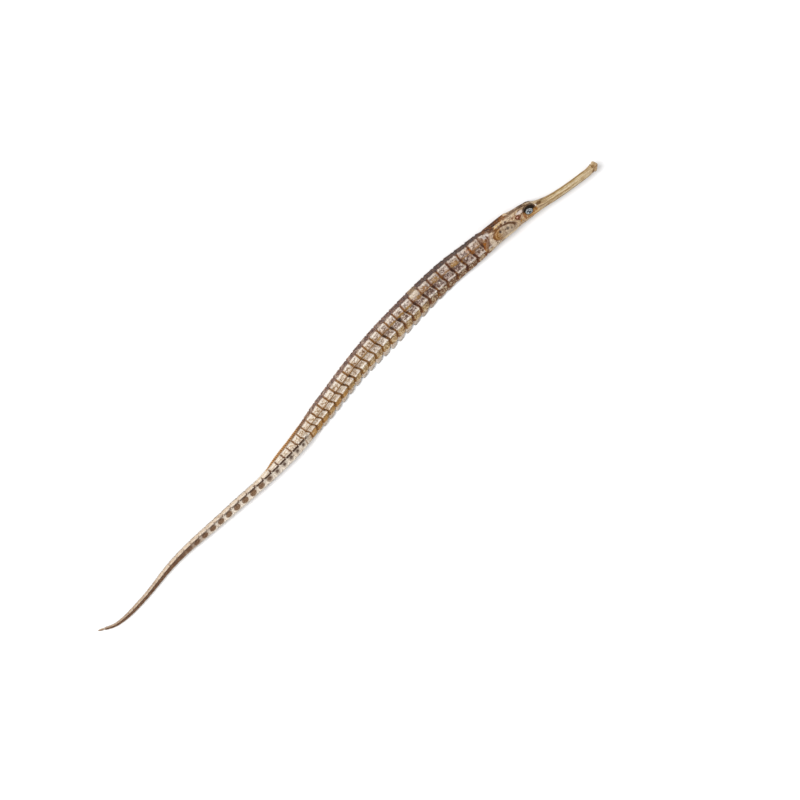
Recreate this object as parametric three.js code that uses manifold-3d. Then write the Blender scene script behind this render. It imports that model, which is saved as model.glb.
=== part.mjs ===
// A whole dried pipefish lying on its left side, in millimetres, +Z up, head towards +X, back towards +Y.
// A station is a distance along the body from the mouth. A section is given by across (+ is the fish's
// right side, which faces up) and high (+ is towards the back), and the fish is rolled so its back shows.
import * as THREE from 'three';
import { mergeVertices } from 'three/addons/utils/BufferGeometryUtils.js';
import Module from 'manifold-3d';

// Body axis seen from above: [x, y] from tail tip to mouth, bowed towards the back behind the head
const axisPoints = [
  [-124, 0], [-117, -3], [-105, -3], [-85, -0.5], [-60, -0.8], [-35, -0.8], [-10, 2.6],
  [15, 6.9], [45, 8.8], [75, 7.4], [90, 6.1], [105, 2.4], [124, 0],
];
const axisSteps = 2000;
// The origin is under the middle of the fish's box
const originShift = [0, -4.74];

// Height of the axis above the table and roll of the section, by station
const axisHeight = [
  [0, 3.35], [25, 3.35], [47, 3.3], [60, 2.9], [75, 2.66], [90, 2.6], [120, 2.5], [136, 2.42],
  [150, 2.35], [165, 2.2], [181, 1.95], [203, 1.55], [217, 1.2], [239, 0.82], [250, 0.66],
];
const rollDegrees = [[0, 20], [145, 20], [152, 22], [163, 25], [181, 30], [203, 35], [217, 40], [250, 40]];

// Mouth: an oblique oval jaw, a groove and a collar, as [distance behind the mouth, half depth, half width]
const mouthStation = 0.55;
const mouthTip = 0.05;
const chinSlope = 0.62;
const lipSlope = -0.25;
const mouthSlopeEnd = 6;
const mouthRise = 0.5;
const mouthRows = [
  [-0.42, 0.9, 0.55], [-0.15, 1.6, 0.98], [0.15, 1.92, 1.2], [0.7, 1.88, 1.18],
  [1.1, 1.58, 1.06], [1.5, 1.66, 1.2], [2.3, 1.5, 1.17],
];

// Snout tube and head
const headEnd = 46.9;
const headBlend = 4.4;
const headStep = 1.45;
const headDepth = [
  [3.8, 1.5], [5, 1.43], [12, 1.4], [19, 1.48], [23.5, 1.65], [27, 2.15], [30, 2.75], [32.5, 3.1],
  [35, 3.25], [38.5, 3.78], [45, 3.88], [52, 4.1],
];
const headWidth = [
  [3.8, 1.18], [12, 1.16], [19, 1.22], [23.5, 1.5], [27, 1.95], [30, 2.3], [35, 2.6], [40, 2.9], [52, 3.15],
];
const headAngles = [-90, -72, -50, -30, -10, 14, 34, 56, 90];

// Armour rings: pitch along the body, groove depth and the small tooth where each ring ends
const firstRing = 46.9;
const lastRing = 247;
const ringPitch = [
  [47, 4.35], [55, 4.85], [62, 4.65], [75, 4.55], [88, 4.1], [103, 3.8], [122, 3.85], [134, 3.6],
  [143, 3.05], [150, 3.15], [162, 3.75], [168, 3.95], [190, 3.85], [203, 3.75], [214, 3.45], [230, 2.6], [246, 1.9],
];
const ringPhases = [0, 0.14, 0.5, 0.86];
const tipPhases = [0, 0.2, 0.8];
const tipRings = 200;
const grooveDepth = 0.3;
const faceGroove = 0.24;
const bellyGroove = 0.1;
const ridgeTooth = 0.14;
const faceSink = 0.13;
// Grooves, teeth and sunk faces shrink with the lower ridge's half width, from this one on
const fullWidth = 2.36;

// Ridges of the armour: half widths and heights of the upper, lateral and lower ridges
const upperWidth = [
  [47, 1.9], [55, 1.9], [72, 2.3], [87, 2.25], [102, 2.1], [130, 1.85], [145, 1.5], [152, 1.2], [160, 0.95],
  [168, 0.75], [181, 0.6], [217, 0.38], [250, 0.14],
];
const upperHeight = [
  [47, 3.8], [55, 4.0], [65, 4.35], [73, 4.3], [87, 4.05], [102, 4.15], [116, 4.0], [134, 4.08], [141, 3.6],
  [146, 3.2], [153, 2.95], [160, 2.55], [166, 1.9], [172, 1.58], [181, 1.45], [196, 1.3], [217, 0.9],
  [239, 0.62], [250, 0.3],
];
const lateralWidth = [[47, 3.1], [60, 3.35], [80, 3.5], [94, 3.55], [116, 3.2], [134, 2.8], [144, 2.5]];
const lateralHeight = [[47, 1.45], [73, 1.75], [94, 1.6], [116, 1.5], [144, 1.35]];
const lowerWidth = [
  [47, 2.6], [73, 2.42], [90, 2.36], [116, 2.25], [134, 2.1], [146, 2.0], [160, 1.72], [167, 1.58],
  [181, 1.42], [196, 1.22], [217, 0.87], [239, 0.6], [250, 0.24],
];
const lowerHeight = [
  [47, -1.9], [73, -1.73], [87, -1.95], [102, -1.7], [116, -1.35], [130, -0.85], [141, -0.54], [146, -0.25],
  [153, 0.3], [160, 0.85], [167, 1.15], [181, 1.35], [196, 1.22], [217, 0.85], [239, 0.6], [250, 0.3],
];
const ventStation = 144.5;
const ventBlend = 2.4;

// Belly corner, which becomes the lower corner of the tail, and the toothed keel below it
const bellyWidth = [
  [47, 1.5], [56, 0.9], [64, 0.42], [73, 0.32], [136, 0.32], [141, 0.6], [146, 1.6], [153, 1.58], [167, 1.5],
  [181, 1.34], [196, 1.14], [217, 0.82], [239, 0.56], [250, 0.22],
];
const bellyHeight = [
  [47, -3.7], [52, -4.1], [58, -4.5], [73, -4.9], [90, -5.1], [102, -4.8], [116, -3.85], [124, -3.35],
  [134, -3.15], [146, -3.0], [153, -2.7], [160, -2.2], [167, -1.9], [181, -1.68], [196, -1.35], [217, -0.87],
  [239, -0.6], [250, -0.3],
];
const keelHeight = [
  [47, 0.25], [56, 0.2], [66, 0.45], [73, 0.8], [87, 1.35], [95, 1.5], [102, 1.5], [116, 1.25], [124, 1.3],
  [134, 1.1], [141, 0.75], [146, 0.06], [160, 0.03], [250, 0.02],
];
const keelTooth = [[0, 0.05], [0.14, 0.65], [0.5, 0.92], [0.86, 1]];
// Each ring border is a chevron: how far it lies towards the tail at the points from keel to back
const chevron = [1.7, 0.5, -0.1, -0.5, -0.1, 0.2, 0.2, 0.3, 1.05];
const chevronScale = [[47, 0], [54, 0.8], [62, 1], [140, 1], [150, 0.6], [170, 0.4], [250, 0.15]];

// Eyes, gill covers and small fins, as [station, across, high], half sizes [along, thick, deep] and tilt
const eye = { at: [30.1, 2.0, 0.72], half: [2.35, 1.1, 1.8], tilt: 0, cuts: [16, 8] };
const eyeRim = { at: [30.1, 2.25, 0.72], half: [2.45, 1.7, 1.88], tilt: 0, tube: 0.12, cuts: [6, 18] };
const brow = { at: [31, 1.6, 2.1], half: [2.9, 0.6, 0.55], tilt: 4, cuts: [10, 6] };
const gillCover = { at: [41, 2.5, -0.2], half: [5.9, 0.95, 2.45], tilt: 7, cuts: [18, 8] };
const napeKnob = { at: [38.4, 0, 3.72], half: [0.62, 0.5, 0.42], tilt: 0, cuts: [8, 6] };
const napeCrest = { at: [43.2, 0, 3.72], half: [4.2, 0.32, 0.5], tilt: 0, cuts: [10, 6] };
const sideFin = { at: [50, 2.95, -0.6], half: [2.6, 0.42, 0.8], tilt: -45, cuts: [12, 6] };
const backFin = { from: 137.6, to: 164.6, rays: 17, thick: 0.3, rayThick: 0.42, root: 0.7 };
const backFinEdge = [[137.6, 3.95], [145, 4.02], [152, 3.82], [160, 3.35], [164.6, 2.2]];

const skinColor = 0xc4b292;

// Smooth curve through the rows [station, value] of a table
function along(table, at) {
  const last = table.length - 1;
  if (at <= table[0][0]) return table[0][1];
  if (at >= table[last][0]) return table[last][1];
  let i = 0;
  while (table[i + 1][0] < at) i += 1;
  const slope = (k) => {
    const a = Math.max(k - 1, 0);
    const b = Math.min(k + 1, last);
    return (table[b][1] - table[a][1]) / (table[b][0] - table[a][0]);
  };
  const span = table[i + 1][0] - table[i][0];
  const t = (at - table[i][0]) / span;
  const ease = t * t * (3 - 2 * t);
  const lead = t * (1 - t) * (1 - t) * span * slope(i);
  const trail = t * t * (t - 1) * span * slope(i + 1);
  return table[i][1] * (1 - ease) + table[i + 1][1] * ease + lead + trail;
}

// Distances along the axis from the mouth, walked in small steps towards the tail
const axisStart = axisPoints[0][0];
const axisEnd = axisPoints[axisPoints.length - 1][0];
const axisStep = (axisEnd - axisStart) / axisSteps;
const axisDistances = [0];
for (let i = 1; i <= axisSteps; i += 1) {
  const x = axisEnd - axisStep * i;
  const rise = along(axisPoints, x + axisStep) - along(axisPoints, x);
  axisDistances.push(axisDistances[i - 1] + Math.hypot(axisStep, rise));
}
const bodyLength = axisDistances[axisSteps];

// Point of the table frame for a station and a place in its section
function place(station, across, high) {
  const s = THREE.MathUtils.clamp(station, 0, bodyLength);
  let low = 0;
  let top = axisSteps;
  while (top - low > 1) {
    const middle = (low + top) >> 1;
    if (axisDistances[middle] <= s) low = middle;
    else top = middle;
  }
  const part = (s - axisDistances[low]) / (axisDistances[top] - axisDistances[low]);
  const x = axisEnd - axisStep * (low + part);
  const slope = (along(axisPoints, x + axisStep) - along(axisPoints, x - axisStep)) / (2 * axisStep);
  const unit = Math.hypot(1, slope);
  const roll = THREE.MathUtils.degToRad(along(rollDegrees, s));
  const side = high * Math.cos(roll) - across * Math.sin(roll);
  const lift = along(axisHeight, s) + high * Math.sin(roll) + across * Math.cos(roll);
  return new THREE.Vector3(
    x - (side * slope) / unit + (s - station) / unit + originShift[0],
    along(axisPoints, x) + side / unit + ((s - station) * slope) / unit + originShift[1],
    Math.max(lift, 0),
  );
}

// Right half of a section from keel to back, as [across, high], for the round head
function headHalf(depth, width, rise) {
  return headAngles.map((degrees) => {
    const angle = THREE.MathUtils.degToRad(degrees);
    return [width * Math.cos(angle), rise + depth * Math.sin(angle)];
  });
}

// Point between two ridges, sunk below the straight line that joins them
function sunken(a, b, sink) {
  const run = Math.hypot(b[0] - a[0], b[1] - a[1]) || 1;
  const inward = [-(b[1] - a[1]) / run, (b[0] - a[0]) / run];
  return [(a[0] + b[0]) / 2 + inward[0] * sink, (a[1] + b[1]) / 2 + inward[1] * sink];
}

// Right half of a section of the armoured trunk or tail, at a phase of its ring
function armourHalf(s, phase) {
  const size = Math.min(along(lowerWidth, s) / fullWidth, 1);
  const inGroove = phase === 0 ? 1 : 0;
  const tooth = phase > 0.5 ? ridgeTooth * size : 0;
  const lower = [along(lowerWidth, s), along(lowerHeight, s)];
  const upper = [along(upperWidth, s), along(upperHeight, s)];
  const fade = THREE.MathUtils.smoothstep(s, ventStation - ventBlend, ventStation + ventBlend);
  const straight = [(lower[0] * 2 + upper[0]) / 3, (lower[1] * 2 + upper[1]) / 3];
  const side = [along(lateralWidth, s), along(lateralHeight, s)];
  const lateral = [0, 1].map((k) => THREE.MathUtils.lerp(side[k], straight[k], fade));
  const belly = [along(bellyWidth, s), along(bellyHeight, s)];
  const keel = [0, belly[1] - along(keelHeight, s) * along(keelTooth, phase)];
  const back = [0, upper[1] - faceSink * size];
  const centre = (belly[1] + upper[1]) / 2;
  const push = (point, amount) => {
    const reach = Math.hypot(point[0], point[1] - centre) || 1;
    return [point[0] * (1 + amount / reach), centre + (point[1] - centre) * (1 + amount / reach)];
  };
  const ridge = (point) => push(point, tooth - inGroove * grooveDepth * size);
  const face = (a, b) => push(sunken(a, b, faceSink * size), -inGroove * faceGroove * size);
  const sunk = push(back, -inGroove * faceGroove * size);
  return [
    keel, push(belly, -inGroove * bellyGroove * size), face(belly, lower), ridge(lower), face(lower, lateral),
    ridge(lateral), face(lateral, upper), ridge(upper), sunk,
  ];
}

// One closed line of points round the body at a station
function ringOfPoints(s, half, shift) {
  const points = half.map((point, i) => place(s + shift(i, point), point[0], point[1]));
  for (let i = half.length - 2; i > 0; i -= 1) {
    points.push(place(s + shift(i, half[i]), -half[i][0], half[i][1]));
  }
  return points;
}

function bodyStations() {
  const rows = [];
  const mouthShare = (s) => 1 - THREE.MathUtils.smoothstep(s, mouthStation, mouthSlopeEnd);
  const riseAt = (s) => mouthRise * mouthShare(s);
  const slant = (s) => (i, point) => {
    const above = point[1] - riseAt(s);
    return -(above < 0 ? chinSlope : lipSlope) * mouthShare(s) * above;
  };
  mouthRows.forEach(([behind, depth, width]) => {
    const s = mouthStation + behind;
    rows.push(ringOfPoints(s, headHalf(depth, width, riseAt(s)), slant(s)));
  });
  const headStart = mouthStation + mouthRows[mouthRows.length - 1][0] + headStep;
  const count = Math.round((headEnd - headStart) / headStep);
  for (let k = 0; k < count; k += 1) {
    const s = headStart + ((headEnd - headStart) * k) / count;
    rows.push(ringOfPoints(s, headHalf(along(headDepth, s), along(headWidth, s), riseAt(s)), slant(s)));
  }
  let ring = firstRing;
  while (ring < lastRing) {
    const pitch = along(ringPitch, ring);
    for (const phase of ring > tipRings ? tipPhases : ringPhases) {
      const s = ring + pitch * phase;
      const armoured = THREE.MathUtils.smoothstep(s, headEnd, headEnd + headBlend);
      const round = headHalf(along(headDepth, s), along(headWidth, s), 0);
      const plated = armourHalf(s, phase);
      const half = round.map((p, i) => [0, 1].map((k) => THREE.MathUtils.lerp(p[k], plated[i][k], armoured)));
      rows.push(ringOfPoints(s, half, (i) => chevron[i] * along(chevronScale, s)));
    }
    ring += pitch;
  }
  return rows;
}

// Folded tail fin: the section turns into a thin blade and ends round
const tailFin = [[247.4, 0.26, 0.42], [248.2, 0.2, 0.5], [249.1, 0.16, 0.5], [249.8, 0.12, 0.34]];

function tailStations() {
  return tailFin.map(([s, width, depth]) => ringOfPoints(s, headHalf(depth, width, 0), () => 0));
}

function solidFrom(geometry) {
  const bare = geometry.clone();
  bare.deleteAttribute('normal');
  bare.deleteAttribute('uv');
  const merged = mergeVertices(bare, 1e-5);
  return new wasm.Manifold(new wasm.Mesh({
    numProp: 3,
    vertProperties: new Float32Array(merged.attributes.position.array),
    triVerts: new Uint32Array(merged.index.array),
  }));
}

// Closed skin over a list of equal closed lines of points, with a middle point at each end
function skin(rows, startPoint, endPoint) {
  const points = rows.flat().concat([startPoint, endPoint]);
  const round = rows[0].length;
  const index = [];
  for (let r = 0; r < rows.length - 1; r += 1) {
    for (let i = 0; i < round; i += 1) {
      const a = r * round + i;
      const b = r * round + ((i + 1) % round);
      index.push(a, b, a + round, b, b + round, a + round);
    }
  }
  const first = points.length - 2;
  const last = (rows.length - 1) * round;
  for (let i = 0; i < round; i += 1) {
    const next = (i + 1) % round;
    index.push(first, next, i);
    index.push(first + 1, last + i, last + next);
  }
  const geometry = new THREE.BufferGeometry().setFromPoints(points);
  geometry.setIndex(index);
  return geometry;
}

function bodySolid() {
  const rows = bodyStations().concat(tailStations());
  return solidFrom(skin(rows, place(mouthTip, 0, mouthRise), place(bodyLength, 0, 0)));
}

// Unit geometry with x along the body, y across and z high, laid on the body at its place
function laidOnBody(geometry, shape, side) {
  const { at, half } = shape;
  const turn = THREE.MathUtils.degToRad(shape.tilt);
  const position = geometry.attributes.position;
  for (let i = 0; i < position.count; i += 1) {
    const run = position.getX(i) * half[0];
    const out = position.getY(i) * half[1] * side;
    const high = position.getZ(i) * half[2];
    const stationOff = run * Math.cos(turn) - high * Math.sin(turn);
    const highOff = run * Math.sin(turn) + high * Math.cos(turn);
    const point = place(at[0] + stationOff, at[1] * side + out, at[2] + highOff);
    position.setXYZ(i, point.x, point.y, point.z);
  }
  // A piece mirrored to the left side needs its faces turned over
  if (side < 0) flipFaces(geometry);
  return solidFrom(geometry);
}

function flipFaces(geometry) {
  const index = geometry.index.array;
  for (let i = 0; i < index.length; i += 3) {
    const keep = index[i];
    index[i] = index[i + 1];
    index[i + 1] = keep;
  }
}

function lens(shape, side) {
  return laidOnBody(new THREE.SphereGeometry(1, shape.cuts[0], shape.cuts[1]), shape, side);
}

function eyeRimSolid(side) {
  const ring = new THREE.TorusGeometry(1, eyeRim.tube, eyeRim.cuts[0], eyeRim.cuts[1]);
  ring.rotateX(Math.PI / 2);
  return laidOnBody(ring, eyeRim, side);
}

// Back fin folded down to a low ribbed blade
function backFinSolid() {
  const rows = [];
  const count = backFin.rays * 2;
  for (let k = 0; k <= count; k += 1) {
    const s = backFin.from + ((backFin.to - backFin.from) * k) / count;
    const half = (k % 2 ? backFin.rayThick : backFin.thick) / 2;
    const foot = along(upperHeight, s) - backFin.root;
    const edge = along(backFinEdge, s);
    rows.push([place(s, half, foot), place(s, half, edge), place(s, -half, edge), place(s, -half, foot)]);
  }
  const middle = (row) => row.reduce((sum, p) => sum.add(p), new THREE.Vector3()).divideScalar(row.length);
  return solidFrom(skin(rows, middle(rows[0]), middle(rows[count])));
}

function pipefish() {
  let fish = bodySolid().add(backFinSolid());
  for (const side of [1, -1]) {
    for (const shape of [gillCover, eye, brow, sideFin]) fish = fish.add(lens(shape, side));
    fish = fish.add(eyeRimSolid(side));
  }
  fish = fish.add(lens(napeKnob, 1)).add(lens(napeCrest, 1));
  const { numProp, vertProperties, triVerts } = fish.getMesh();
  const geometry = new THREE.BufferGeometry();
  const points = [];
  for (let i = 0; i < vertProperties.length; i += numProp) points.push(...vertProperties.slice(i, i + 3));
  geometry.setAttribute('position', new THREE.Float32BufferAttribute(points, 3));
  geometry.setIndex(Array.from(triVerts));
  geometry.computeVertexNormals();
  const material = new THREE.MeshStandardMaterial({ color: skinColor, roughness: 0.72, metalness: 0 });
  const mesh = new THREE.Mesh(geometry, material);
  mesh.name = 'pipefish';
  return mesh;
}

const wasm = await Module();
wasm.setup();

const part = new THREE.Group();
part.add(pipefish());

export default part;
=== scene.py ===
import math

import bpy
import numpy as np
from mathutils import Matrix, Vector


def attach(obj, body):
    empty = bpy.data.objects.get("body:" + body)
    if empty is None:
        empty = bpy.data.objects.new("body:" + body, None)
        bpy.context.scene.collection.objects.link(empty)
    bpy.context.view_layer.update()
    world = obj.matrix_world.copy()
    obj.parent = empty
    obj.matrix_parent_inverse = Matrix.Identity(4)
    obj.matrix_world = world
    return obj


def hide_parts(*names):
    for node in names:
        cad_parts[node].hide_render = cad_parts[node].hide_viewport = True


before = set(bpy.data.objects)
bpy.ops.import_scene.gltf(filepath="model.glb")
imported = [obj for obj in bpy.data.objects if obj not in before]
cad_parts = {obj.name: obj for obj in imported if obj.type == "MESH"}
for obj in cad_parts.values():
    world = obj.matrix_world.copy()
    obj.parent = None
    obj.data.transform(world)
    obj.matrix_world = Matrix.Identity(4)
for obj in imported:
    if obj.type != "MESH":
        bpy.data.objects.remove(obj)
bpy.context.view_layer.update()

mm = 0.001
scene = bpy.context.scene
scene.view_settings.view_transform = "Standard"
scene.view_settings.look = "None"


def along(table, at):
    # smooth curve through rows of (station, value)
    x = np.array([row[0] for row in table], float)
    y = np.array([row[1] for row in table], float)
    slopes = np.empty(len(x))
    slopes[1:-1] = (y[2:] - y[:-2]) / (x[2:] - x[:-2])
    slopes[0] = (y[1] - y[0]) / (x[1] - x[0])
    slopes[-1] = (y[-1] - y[-2]) / (x[-1] - x[-2])
    at = np.clip(at, x[0], x[-1])
    i = np.clip(np.searchsorted(x, at, side="right") - 1, 0, len(x) - 2)
    span = x[i + 1] - x[i]
    t = (at - x[i]) / span
    ease = t * t * (3 - 2 * t)
    lead = t * (1 - t) ** 2 * span * slopes[i]
    trail = t * t * (t - 1) * span * slopes[i + 1]
    return y[i] * (1 - ease) + y[i + 1] * ease + lead + trail


def step(value, low, high):
    t = np.clip((value - low) / (high - low), 0, 1)
    return t * t * (3 - 2 * t)


def hill(value, centre, width):
    return np.exp(-((value - centre) / width) ** 2)


def wobble(x, y, z, seed, size):
    # smooth uneven field from a few crossing waves
    rng = np.random.default_rng(seed)
    total = 0.0
    for k in range(7):
        direction = rng.normal(size=3)
        direction *= (0.6 + 0.9 * rng.random()) / (np.linalg.norm(direction) * size)
        turn = rng.random() * math.tau
        total = total + np.sin(direction[0] * x + direction[1] * y + direction[2] * z + turn)
    return total / 7 ** 0.5


def addMark(piece, label, values):
    layer = piece.data.attributes.new(label, "FLOAT", "POINT")
    layer.data.foreach_set("value", np.asarray(values, np.float32).ravel())


def makeMesh(name, points, faces, marks):
    # marks is a dictionary of name to one number for each point
    points = np.asarray(points, float)
    mesh = bpy.data.meshes.new(name)
    mesh.from_pydata(points.tolist(), [], faces)
    mesh.calc_loop_triangles()
    corners = np.empty(len(mesh.loop_triangles) * 3, np.int32)
    mesh.loop_triangles.foreach_get("vertices", corners)
    a, b, c = (points - points.mean(axis=0))[corners.reshape(-1, 3)].transpose(1, 0, 2)
    if np.einsum("ij,ij->", a, np.cross(b, c)) < 0:
        mesh.flip_normals()        # a closed shell faces outward
    mesh.update()
    mesh.polygons.foreach_set("use_smooth", [True] * len(mesh.polygons))
    piece = bpy.data.objects.new(name, mesh)
    scene.collection.objects.link(piece)
    for label, values in marks.items():
        addMark(piece, label, values)
    return piece


def gridFaces(rows, columns, first=0, roundColumns=True, roundRows=False, turned=False):
    # quads over points that are laid out row by row
    faces = []
    for r in range(rows if roundRows else rows - 1):
        near, far = first + r * columns, first + (r + 1) % rows * columns
        for i in range(columns if roundColumns else columns - 1):
            j = (i + 1) % columns
            quad = (near + i, near + j, far + j, far + i)
            faces.append(quad[::-1] if turned else quad)
    return faces


def standFor(piece, material):
    piece.data.materials.append(material)
    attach(piece, "root")
    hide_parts("pipefish")


bothSides = ((1, "Right"), (-1, "Left"))

# where a station of the body lies: the same measures as the solid, in mm
bodyPath = {
    "points": [
        (-124, 0), (-117, -3), (-105, -3), (-85, -0.5), (-60, -0.8), (-35, -0.8), (-10, 2.6),
        (15, 6.9), (45, 8.8), (75, 7.4), (90, 6.1), (105, 2.4), (124, 0),
    ],
    "samples": 4001,
    "originShift": (0, -4.74),
    "tailTip": 250.0,
    "closeAt": 250.2,              # where the skin closes behind the tail tip
    "settle": 0.06,                # how softly the lowest plates flatten on the table
    "height": [
        (0, 3.35), (25, 3.35), (47, 3.3), (60, 2.9), (75, 2.66), (90, 2.6), (120, 2.5), (136, 2.42),
        (150, 2.35), (165, 2.2), (181, 1.95), (203, 1.55), (217, 1.2), (239, 0.82), (250, 0.66),
    ],
    "roll": [(0, 20), (145, 20), (152, 22), (163, 25), (181, 30), (203, 35), (217, 40), (250, 40)],
}

pathX = np.linspace(bodyPath["points"][-1][0], bodyPath["points"][0][0], bodyPath["samples"])
pathY = along(bodyPath["points"], pathX)
pathDistance = np.concatenate([[0], np.cumsum(np.hypot(np.diff(pathX), np.diff(pathY)))])
pathSlope = np.gradient(pathY, pathX)
bodyLength = float(pathDistance[-1])


def place(station, across, high):
    # metres, for a station along the body and a place in its section
    s = np.clip(station, 0, bodyLength)
    over = station - s
    x = np.interp(s, pathDistance, pathX)
    y = np.interp(s, pathDistance, pathY)
    slope = np.interp(s, pathDistance, pathSlope)
    unit = np.hypot(1, slope)
    roll = np.radians(along(bodyPath["roll"], s))
    side = high * np.cos(roll) - across * np.sin(roll)
    lift = along(bodyPath["height"], s) + high * np.sin(roll) + across * np.cos(roll)
    return np.stack([
        x - side * slope / unit - over / unit + bodyPath["originShift"][0],
        y + side / unit - over * slope / unit + bodyPath["originShift"][1],
        0.5 * (lift + np.sqrt(lift ** 2 + bodyPath["settle"] ** 2)),
    ], axis=-1) * mm


def linear(*colour):
    # red, green and blue are written as 0 to 255, as the eye sees them
    shares = [c / 255 for c in colour]
    return (*[c / 12.92 if c <= 0.04045 else ((c + 0.055) / 1.055) ** 2.4 for c in shares], 1)


class Sheet:
    # short names for making and joining shader nodes

    def __init__(self, tree):
        self.nodes = tree.nodes
        self.links = tree.links

    def give(self, socket, value):
        # a value is another node's socket, a number, or a colour as (red, green, blue)
        if isinstance(value, bpy.types.NodeSocket):
            self.links.new(value, socket)
        else:
            socket.default_value = linear(*value) if isinstance(value, tuple) else value

    def mark(self, name):
        node = self.nodes.new("ShaderNodeAttribute")
        node.attribute_name = name
        return node.outputs["Fac"]

    def maths(self, operation, *values):
        node = self.nodes.new("ShaderNodeMath")
        node.operation = operation
        for socket, value in zip(node.inputs, values):
            self.give(socket, value)
        return node.outputs[0]

    def times(self, *values):
        out = values[0]
        for value in values[1:]:
            out = self.maths("MULTIPLY", out, value)
        return out

    def plus(self, a, b):
        return self.maths("ADD", a, b)

    def minus(self, a, b):
        return self.maths("SUBTRACT", a, b)

    def scaled(self, a, factor, shift):
        return self.maths("MULTIPLY_ADD", a, factor, shift)

    def centred(self, share, size):
        # a share of 0 to 1, laid round nought
        return self.scaled(share, size, -size / 2)

    def fromBorder(self, share):
        # 0 at 0 and 1, and 0.5 half way
        return self.minus(0.5, self.maths("ABSOLUTE", self.minus(share, 0.5)))

    def reach(self, x, y):
        # how far (x, y) is from the middle
        return self.maths("SQRT", self.plus(self.times(x, x), self.times(y, y)))

    def most(self, a, b):
        return self.maths("MAXIMUM", a, b)

    def flip(self, a):
        return self.minus(1.0, a)

    def smooth(self, value, low, high, start=0.0, end=1.0):
        node = self.nodes.new("ShaderNodeMapRange")
        node.interpolation_type = "SMOOTHSTEP"
        names = ("Value", "From Min", "From Max", "To Min", "To Max")
        for name, number in zip(names, (value, low, high, start, end)):
            self.give(node.inputs[name], number)
        return node.outputs["Result"]

    def band(self, value, low, high, soft):
        # 1 between low and high, with soft edges
        up = self.smooth(value, low - soft, low + soft)
        down = self.smooth(value, high - soft, high + soft, 1.0, 0.0)
        return self.times(up, down)

    def ramp(self, value, stops, low=0.0, high=1.0):
        # colour along a value; stops are (value, red, green, blue)
        node = self.nodes.new("ShaderNodeValToRGB")
        span = high - low
        ramp = node.color_ramp
        while len(ramp.elements) < len(stops):
            ramp.elements.new(0.5)
        for element, (at, *colour) in zip(ramp.elements, stops):
            element.position = (at - low) / span
            element.color = linear(*colour)
        self.give(node.inputs["Fac"], self.scaled(value, 1 / span, -low / span))
        return node.outputs["Color"]

    def mix(self, factor, a, b, blend="MIX"):
        node = self.nodes.new("ShaderNodeMix")
        node.data_type = "RGBA"
        node.blend_type = blend
        node.clamp_factor = True
        for index, value in ((0, factor), (6, a), (7, b)):     # the colour sockets of this node
            self.give(node.inputs[index], value)
        return node.outputs[2]

    def paint(self, colour, tint, *masks):
        # lays a tint over a colour where all the masks meet
        return self.mix(self.times(*masks), colour, tint)

    def vector(self, x, y, z=0.0):
        node = self.nodes.new("ShaderNodeCombineXYZ")
        for socket, value in zip(node.inputs, (x, y, z)):
            self.give(socket, value)
        return node.outputs[0]

    def texture(self, kind, vector, **values):
        # laid over the piece itself where no vector is given
        node = self.nodes.new(kind)
        if vector is None:
            vector = self.nodes.new("ShaderNodeTexCoord").outputs["Object"]
        for name, value in dict(Vector=vector, **values).items():
            self.give(node.inputs[name], value)
        return node

    def noise(self, scale, detail=3.0, rough=0.55, vector=None):
        node = self.texture("ShaderNodeTexNoise", vector, Scale=scale, Detail=detail, Roughness=rough)
        return node.outputs["Fac"]

    def cells(self, scale, vector=None, feature="F1"):
        node = self.texture("ShaderNodeTexVoronoi", vector, Scale=scale)
        node.feature = feature
        return node.outputs["Distance"]

    def group(self, tree, **values):
        node = self.nodes.new("ShaderNodeGroup")
        node.node_tree = tree
        for name, value in values.items():
            self.give(node.inputs[name], value)
        return node

    def bump(self, height, strength, distance):
        node = self.nodes.new("ShaderNodeBump")
        for name, value in (("Strength", strength), ("Distance", distance), ("Height", height)):
            self.give(node.inputs[name], value)
        return node.outputs["Normal"]


def newGroup(name, ins, outs):
    tree = bpy.data.node_groups.new(name, "ShaderNodeTree")
    for label, kind, value in ins:
        socket = tree.interface.new_socket(label, in_out="INPUT", socket_type=kind)
        socket.default_value = value
    for label, kind in outs:
        tree.interface.new_socket(label, in_out="OUTPUT", socket_type=kind)
    start = tree.nodes.new("NodeGroupInput")
    end = tree.nodes.new("NodeGroupOutput")
    return tree, start.outputs, end.inputs


def newMaterial(name):
    material = bpy.data.materials.new(name)
    material.use_nodes = True
    sheet = Sheet(material.node_tree)
    return material, sheet, material.node_tree.nodes["Principled BSDF"]


# effects that several finishes share, per metre
dried = {
    "speckle": 2600.0,     # fine dark flecks of the dried skin
    "blotch": 420.0,       # stains
    "wrinkle": 1500.0,     # shrunken skin
}


def makeSpeckle():
    # colour with fine flecks, light chalk and rusty stains worked in
    tree, ins, outs = newGroup("driedSpeckle", [
        ("Color", "NodeSocketColor", (0.5, 0.5, 0.5, 1)),
        ("Flecks", "NodeSocketFloat", 0.4),
        ("Chalk", "NodeSocketFloat", 0.3),
        ("Stain", "NodeSocketFloat", 0.3),
    ], [("Color", "NodeSocketColor")])
    s = Sheet(tree)
    fine = s.noise(dried["speckle"], 4.0, 0.7)
    dark = s.times(s.smooth(fine, 0.47, 0.38), ins["Flecks"])
    light = s.times(s.smooth(fine, 0.55, 0.64), ins["Chalk"])
    blotch = s.noise(dried["blotch"], 3.0, 0.6)
    stain = s.times(s.smooth(blotch, 0.52, 0.62), ins["Stain"])
    rusty = s.mix(stain, ins["Color"], (158, 118, 74), "MULTIPLY")
    flecked = s.mix(dark, rusty, (78, 54, 42))
    s.give(outs["Color"], s.mix(light, flecked, (232, 220, 200)))
    return tree


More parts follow.
